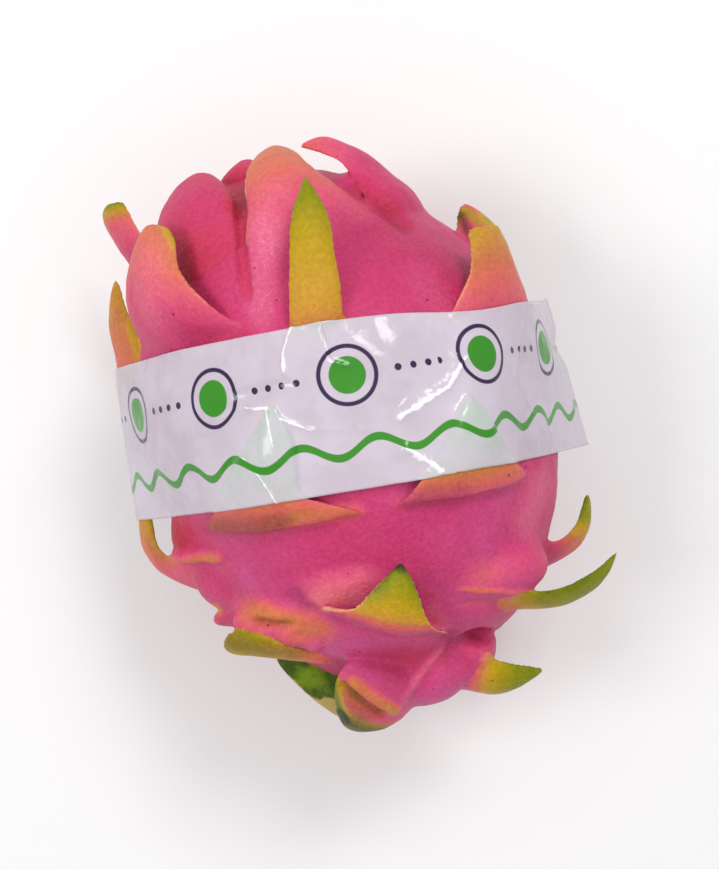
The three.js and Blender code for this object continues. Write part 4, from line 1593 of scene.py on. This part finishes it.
def matt(red: int, green: int, blue: int) -> Colour:
    """Gives the linear colour under a sheen, from the display colour seen in soft light.

    Args:
        red: The red channel, 0 to 255.
        green: The green channel.
        blue: The blue channel.

    Returns:
        The linear colour less the sheen's share.
    """
    sheen, darkest = 0.004, 0.001
    seen = srgb(red, green, blue)
    return (*(max(channel - sheen, darkest) for channel in seen[:3]), 1.0)


@dataclass(frozen=True)
class RindFinish:
    """The waxy skin: magenta body, salmon and gold to green tips, and crimson inside the scales, partly painted
    shade.
    """

    tones: tuple[tuple[float, Colour], ...] = (  # by ripeness, from crimson, also used as painted shade in valleys and hollows, over the body's own to a dark tip
        (0.0, matt(176, 40, 62)),
        (0.13, matt(200, 56, 88)),
        (0.23, matt(200, 60, 111)),
        (0.34, matt(218, 86, 114)),
        (0.46, matt(220, 108, 92)),
        (0.55, matt(206, 120, 74)),
        (0.65, matt(204, 148, 52)),
        (0.76, matt(186, 152, 26)),
        (0.87, matt(146, 142, 12)),
        (0.95, matt(104, 120, 12)),
        (1.0, matt(78, 72, 26)),
    )
    inner_crimson_and_painted_shade: Colour = matt(166, 46, 58)  # the inner faces of the scales: their deeper crimson, partly painted shade between scale and body
    bloom_and_painted_light_colour: Colour = matt(250, 138, 168)  # where the bloom is thick, and painted light in the armpits, on the crest and the knob
    painted_glint: Colour = matt(255, 214, 230)  # painted highlights: fine bright specks of painted sparkle, most of all in the bloom
    pale: Colour = matt(214, 96, 158)  # lilac clouds on the body
    flushed: Colour = matt(206, 44, 72)  # crimson streaks on the body
    line: Colour = matt(226, 178, 120)  # the thin margins of the scales
    fleck: Colour = matt(96, 30, 34)  # small dark flecks
    drawn_out: Point = (1.0, 0.25, 1.0)  # how the place is scaled for strands along the fruit
    patchy: Span = (0.12, 0.07)  # how far the tone wanders by patches, and by strands
    body_edge: float = 4.0  # how quickly the clouds and streaks give way where the tone leaves the body's
    stem_end: Span = (0.005, -0.02)  # where along the fruit the lilac grows towards the stem, in metres
    lilac_share: Span = (0.16, 0.36)  # how much of it shows everywhere, and how much more at the stem end
    flush_share: float = 0.38  # how much of the streaks shows
    bloom_and_painted_light_share: float = 0.8  # how much of the bloom and painted light shows
    painted_glint_share: Span = (0.03, 0.45)  # how much of the painted glints shows everywhere, and how much more in the bloom
    inner_until: float = 0.9  # the tone at which the inner faces stop being crimson
    line_share: float = 0.7  # how much of the margins' colour shows
    grain_share: float = 0.5  # how much lighter and darker the skin's fine grain is
    painted_shade_and_brown_share: float = 0.9  # how much darker the skin is where the fourth value is below 0: painted shade and brown marks
    fleck_share: float = 0.8  # how much of the flecks shows
    gloss: Span = (0.38, 0.16)  # least roughness, and how much more a noise adds
    specular: float = 0.16  # strength of its reflections

    def make(self) -> bpy.types.Material:
        """Builds the material.

        Returns:
            The material.
        """
        material, nodes, shader = new_material("rind")
        tone, inner, margin, bloom_and_painted_light = nodes.growth()
        strands = nodes.put("ShaderNodeMapping", {"Vector": nodes.place, "Scale": self.drawn_out})
        wander = nodes.swing(nodes.noise(90.0, 4.0, 0.6), self.patchy[0])
        wander = nodes.swing(nodes.noise(420.0, 3.0, 0.6, strands), self.patchy[1], wander)
        skin = nodes.ramp(nodes.ripeness(nodes.math("ADD", tone, wander)), self.tones)
        skin = self._mottled(nodes, skin, tone, strands)
        skin = self._bloom_and_painted_glints(nodes, skin, bloom_and_painted_light)
        # the inner faces' crimson, partly painted shade between scale and body
        inside = nodes.times(inner, nodes.math("SUBTRACT", self.inner_until, tone, clamp=True))
        skin = nodes.mix(inside, skin, self.inner_crimson_and_painted_shade)
        skin = nodes.mix(nodes.times(nodes.step(margin, 0.3, 0.6), self.line_share), skin, self.line)
        least, more = self.gloss
        nodes.fill(shader, {
            "Base Color": self._flecked_and_painted_shade(nodes, skin, bloom_and_painted_light),
            "Roughness": nodes.line(nodes.noise(300.0), more, least),
            "Specular IOR Level": self.specular,
            "Normal": nodes.grain(450.0, 0.7, 0.00045),
        })
        return material

    def _mottled(self, nodes: Nodes, skin: Socket, tone: Socket, strands: Socket) -> Socket:
        """Lays lilac clouds and crimson streaks on the body.

        Args:
            nodes: The material's nodes.
            skin: The colour so far.
            tone: The tone, which is 0 on the body.
            strands: The place on the fruit, drawn out along it.

        Returns:
            The colour with both.
        """
        off_body = nodes.times(nodes.math("ABSOLUTE", tone), self.body_edge)
        on_body = nodes.math("SUBTRACT", 1.0, off_body, clamp=True)
        everywhere, more = self.lilac_share
        low = nodes.step(nodes.put("ShaderNodeSeparateXYZ", {0: nodes.place}, 1), *self.stem_end)
        spread = nodes.times(on_body, nodes.line(low, more, everywhere))
        lilac = nodes.times(nodes.step(nodes.noise(30.0), 0.42, 0.72), spread)
        skin = nodes.mix(lilac, skin, self.pale)
        streak = nodes.step(nodes.noise(55.0, 4.0, 0.6, strands), 0.48, 0.72)
        return nodes.mix(nodes.times(streak, nodes.times(on_body, self.flush_share)), skin, self.flushed)

    def _bloom_and_painted_glints(self, nodes: Nodes, skin: Socket, bloom_and_painted_light: Socket) -> Socket:
        """Lays the bloom with its painted light, and the painted glints, on the skin.

        Args:
            nodes: The material's nodes.
            skin: The colour so far.
            bloom_and_painted_light: How thick the bloom is, with painted light in places.

        Returns:
            The colour with both.
        """
        paler = nodes.times(bloom_and_painted_light, self.bloom_and_painted_light_share, clamp=True)
        skin = nodes.mix(paler, skin, self.bloom_and_painted_light_colour)
        everywhere, more = self.painted_glint_share
        # painted highlights: fine bright specks that stand for light sparkling on the skin's grain
        painted_sparkle = nodes.step(nodes.noise(2300.0, 1.0), 0.58, 0.72)
        return nodes.mix(nodes.times(painted_sparkle, nodes.line(paler, more, everywhere)), skin, self.painted_glint)

    def _flecked_and_painted_shade(self, nodes: Nodes, skin: Socket, bloom_and_painted_light: Socket) -> Socket:
        """Gives the skin its fine grain, its darker places of painted shade and brown marks, and its dark flecks.

        Args:
            nodes: The material's nodes.
            skin: The colour so far.
            bloom_and_painted_light: The bloom and painted light, below 0 where painted shade and brown marks are.

        Returns:
            The colour with all three.
        """
        lighten = nodes.swing(nodes.noise(1100.0, 2.0), self.grain_share)
        # darker by painted shade, and by brown marks, where the fourth value is below 0
        lighten = nodes.line(nodes.math("MINIMUM", bloom_and_painted_light, 0.0), self.painted_shade_and_brown_share, lighten)
        shaded = nodes.put("ShaderNodeHueSaturation", {"Value": nodes.math("ADD", 1.0, lighten), "Color": skin})
        cells = nodes.put("ShaderNodeTexVoronoi", {"Vector": nodes.place, "Scale": 230.0}, "Distance")
        chosen = nodes.times(nodes.step(nodes.noise(60.0, 1.0), 0.5, 0.58), self.fleck_share)
        return nodes.mix(nodes.times(nodes.step(cells, 0.085, 0.045), chosen), shaded, self.fleck)


@dataclass(frozen=True)
class FilmFinish:
    """Milky glossy film with a plain print: dark rings and dots above, a green wave below.

    Measures of the print are in millimetres. Where there are two, the first is where an edge begins and the second
    where it is full.
    """

    girth: float  # the film's length round the fruit, in metres
    width: float  # the film's width along the fruit, in metres
    veils: tuple[tuple[float, Colour], ...] = (  # what shows through, by the tone of the skin below
        (0.0, (0.74, 0.62, 0.72, 1.0)),
        (0.23, (0.74, 0.65, 0.75, 1.0)),
        (0.46, (0.75, 0.68, 0.73, 1.0)),
        (0.65, (0.72, 0.74, 0.74, 1.0)),
        (0.9, (0.66, 0.75, 0.69, 1.0)),
    )
    milk: Colour = (0.76, 0.68, 0.78, 1.0)  # the film's colour where it lies free
    painted_highlight_white: Colour = (0.95, 0.95, 0.96, 1.0)  # colour of the painted highlights along the crease ridges
    ink: Colour = srgb(52, 34, 74)  # colour of the rings and dots
    green: Colour = srgb(56, 140, 34)  # colour of the discs and the wave
    cover: float = 0.76  # how much the film hides
    pressed_cover: float = -0.1  # how much that changes where it lies on the skin
    painted_highlight_cover: float = 0.35  # how much it grows under the painted highlights
    cloudiness: float = 0.3  # how far it wanders
    repeats: int = 10  # rings round the fruit
    row_at: float = 21.5  # height of the rings and dots over the film's lower edge
    ring_radius: float = 5.4  # radius of a ring
    ring_line: Span = (0.5, 0.3)  # half its line
    disc: Span = (3.6, 3.4)  # radius of its green disc
    dots: int = 9  # how many spacings of dots there are from ring to ring
    dot: Span = (0.75, 0.6)  # radius of a dot
    dots_from: Span = (7.5, 7.7)  # the distance from a ring's middle at which dots begin
    wave_at: float = 8.0  # height of the wave
    wave_rise: float = 1.5  # how far it rises and falls
    wave_line: Span = (0.85, 0.65)  # half its line
    roughness: float = 0.14  # roughness of the film
    specular: float = 0.36  # strength of its reflections

    def make(self) -> bpy.types.Material:
        """Builds the material.

        Returns:
            The material.
        """
        material, nodes, shader = new_material("film")
        laid = nodes.add("ShaderNodeUVMap", uv_map="film").outputs[0]
        length = nodes.times(nodes.put("ShaderNodeSeparateXYZ", {0: laid}, 0), self.girth / MM)
        height = nodes.times(nodes.put("ShaderNodeSeparateXYZ", {0: laid}, 1), self.width / MM)
        pitch = self.girth / MM / self.repeats
        ring, dot, centre = self._motifs(nodes, length, height, pitch)
        wave = self._wave(nodes, length, height, pitch)
        dark = nodes.math("MAXIMUM", ring, dot)
        green = nodes.math("MAXIMUM", centre, wave)
        tone, _, _, touching = nodes.growth()
        # white painted highlights along the crease ridges, broken up by noise
        broken = nodes.line(nodes.noise(260.0, 4.0, 0.7), 1.6, -0.9)
        streak = nodes.step(nodes.math("ADD", nodes.attribute("painted_highlight"), broken), 0.24, 0.62)
        patches = nodes.step(nodes.noise(120.0, 4.0, 0.6), 0.38, 0.6)
        touching = nodes.times(touching, nodes.line(patches, 0.7, 0.3))
        veil = nodes.mix(touching, self.milk, nodes.ramp(nodes.ripeness(tone), self.veils))
        veil = nodes.mix(streak, veil, self.painted_highlight_white)
        milky = nodes.swing(nodes.noise(45.0), self.cloudiness, self.cover)
        milky = nodes.line(touching, self.pressed_cover, milky)
        milky = nodes.line(streak, self.painted_highlight_cover, milky)
        nodes.fill(shader, {
            "Base Color": nodes.mix(dark, nodes.mix(green, veil, self.green), self.ink),
            "Alpha": nodes.math("MAXIMUM", nodes.math("MAXIMUM", dark, green), milky),
            "Roughness": self.roughness,
            "Specular IOR Level": self.specular,
            "Normal": nodes.grain(110.0, 0.25, 0.0007),
        })
        return material

    def _motifs(self, nodes: Nodes, length: object, height: object, pitch: float) -> tuple[Socket, ...]:
        """Draws a ring with a green disc once a pitch, and a row of small dots between the rings.

        Args:
            nodes: The material's nodes.
            length: Place along the film, in millimetres.
            height: Place across it.
            pitch: Distance from ring to ring.

        Returns:
            Where the ring, the dots and the green disc are.
        """
        up = nodes.math("SUBTRACT", height, self.row_at)
        reach = nodes.distance(nodes.math("PINGPONG", length, pitch / 2), up)
        off_ring = nodes.math("ABSOLUTE", nodes.math("SUBTRACT", reach, self.ring_radius))
        spot = nodes.distance(nodes.math("PINGPONG", length, pitch / 2 / self.dots), up)
        dot = nodes.times(nodes.step(spot, *self.dot), nodes.step(reach, *self.dots_from))
        return nodes.step(off_ring, *self.ring_line), dot, nodes.step(reach, *self.disc)

    def _wave(self, nodes: Nodes, length: object, height: object, pitch: float) -> Socket:
        """Draws a green wave below the rings.

        Args:
            nodes: The material's nodes.
            length: Place along the film, in millimetres.
            height: Place across it.
            pitch: Distance from ring to ring, which is two waves long.

        Returns:
            Where the wave is.
        """
        swing = nodes.math("SINE", nodes.times(length, 4 * math.pi / pitch))
        off_wave = nodes.math("SUBTRACT", height, nodes.line(swing, self.wave_rise, self.wave_at))
        return nodes.step(nodes.math("ABSOLUTE", off_wave), *self.wave_line)


@dataclass(frozen=True)
class StubFinish:
    """Fresh green stem with a corky cut end."""

    green: Colour = srgb(58, 84, 4)  # colour of the stem
    light: Colour = srgb(112, 140, 10)  # its lighter patches
    cork: Colour = matt(190, 164, 100)  # the cut end and the ribs' edges
    patchy: float = 0.8  # how far the cork's border wanders
    gloss: Span = (0.32, 0.45)  # roughness of the green, and how much more the cork has
    specular: float = 0.2  # strength of its reflections

    def make(self) -> bpy.types.Material:
        """Builds the material.

        Returns:
            The material.
        """
        material, nodes, shader = new_material("stem")
        mark = nodes.attribute("cork")
        patch = nodes.noise(160.0, 4.0, 0.6)
        skin = nodes.mix(nodes.step(patch, 0.4, 0.65), self.green, self.light)
        corky = nodes.step(nodes.math("ADD", mark, nodes.swing(patch, self.patchy)), 0.45, 0.6)
        least, more = self.gloss
        nodes.fill(shader, {
            "Base Color": nodes.mix(corky, skin, self.cork),
            "Roughness": nodes.line(mark, more, least, clamp=True),
            "Specular IOR Level": self.specular,
            "Normal": nodes.grain(500.0, 0.5, 0.0006),
        })
        return material


# ---- the studio ------------------------------------------------------------------------------------------------


@dataclass(frozen=True)
class Studio:
    """Pale floor, soft lights and the camera that looks straight down on the fruit."""

    floor_size: float = 6.0  # side of the floor, in metres
    floor_colour: Colour = (0.9, 0.9, 0.9, 1.0)  # its colour
    floor_roughness: float = 0.9  # its roughness
    lamps: tuple[tuple[str, Point, float, float], ...] = (  # name, place, size in metres and power of each light
        ("key", (0.35, 0.5, 0.9), 0.3, 3.8),
        ("fill", (-0.55, 0.1, 0.85), 0.3, 2.8),
        ("top", (0.1, 0.0, 1.2), 1.2, 1.3),
    )
    aim: Point = (0.0, 0.0, 0.04)  # where the lights point
    sky: float = 0.56  # strength of the light from all round
    camera_aside: float = 2.7  # how far the camera stands to the right of the fruit's middle, in millimetres
    camera_along: float = -2.5  # how far towards the crown
    camera_distance: float = 350.0  # how far over the fruit's axis
    roll: float = 9.5  # how far it is turned, in degrees
    lens: float = 69.0  # its focal length

    def build(self) -> None:
        """Makes the floor, the lights, the sky and the camera."""
        self._floor()
        self._lights()
        self._sky()
        self._camera()

    def _floor(self) -> None:
        """Lays a pale floor under the fruit."""
        bpy.ops.object.select_all(action="DESELECT")
        bpy.ops.mesh.primitive_plane_add(size=self.floor_size)
        floor = bpy.context.object
        floor.name = "floor"
        material, nodes, shader = new_material("floor")
        nodes.fill(shader, {"Base Color": self.floor_colour, "Roughness": self.floor_roughness})
        floor.data.materials.append(material)

    def _lights(self) -> None:
        """Hangs a key light beyond the crown, a fill on the other side and a large one above."""
        for name, place, size, power in self.lamps:
            bpy.ops.object.light_add(type="AREA", location=place)
            light = bpy.context.object
            light.name = name
            light.data.size = size
            light.data.energy = power
            light.rotation_euler = (Vector(self.aim) - Vector(place)).to_track_quat("-Z", "Y").to_euler()

    def _sky(self) -> None:
        """Lights the fruit evenly from all round, and shows colours as they are."""
        world = bpy.data.worlds.new("sky")
        world.use_nodes = True
        bpy.context.scene.world = world
        background = world.node_tree.nodes["Background"]
        background.inputs[0].default_value = (1.0, 1.0, 1.0, 1.0)
        background.inputs[1].default_value = self.sky
        bpy.context.scene.view_settings.view_transform = "Standard"

    def _camera(self) -> None:
        """Aims the camera straight down, turned so that the crown leans to the upper left."""
        height = self.camera_distance
        bpy.ops.object.camera_add(location=placed((self.camera_aside, self.camera_along, height)),
                                  rotation=(0, 0, -math.radians(self.roll)))
        camera = bpy.context.object
        camera.data.lens = self.lens
        camera.data.clip_start = 0.01
        bpy.context.scene.camera = camera


def main() -> None:
    """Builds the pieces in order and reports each."""
    logging.basicConfig(level=logging.INFO, format="%(message)s")
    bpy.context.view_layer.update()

    fruit = Rind().build()
    fruit.data.materials.append(RindFinish().make())
    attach(fruit, "root")
    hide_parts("fruit")
    log.info("fruit: %d faces", len(fruit.data.polygons))

    stub = Stub().build()
    stub.data.materials.append(StubFinish().make())
    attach(stub, "root")
    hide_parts("stem_stub")
    log.info("stub: %d faces", len(stub.data.polygons))

    sleeve = Film()
    film = sleeve.build(fruit)
    film.data.materials.append(FilmFinish(sleeve.girth, sleeve.width * MM).make())
    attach(film, "root")
    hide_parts("film_band")
    log.info("film: %.0f mm round", sleeve.girth / MM)

    Studio().build()


if __name__ == "__main__":
    main()
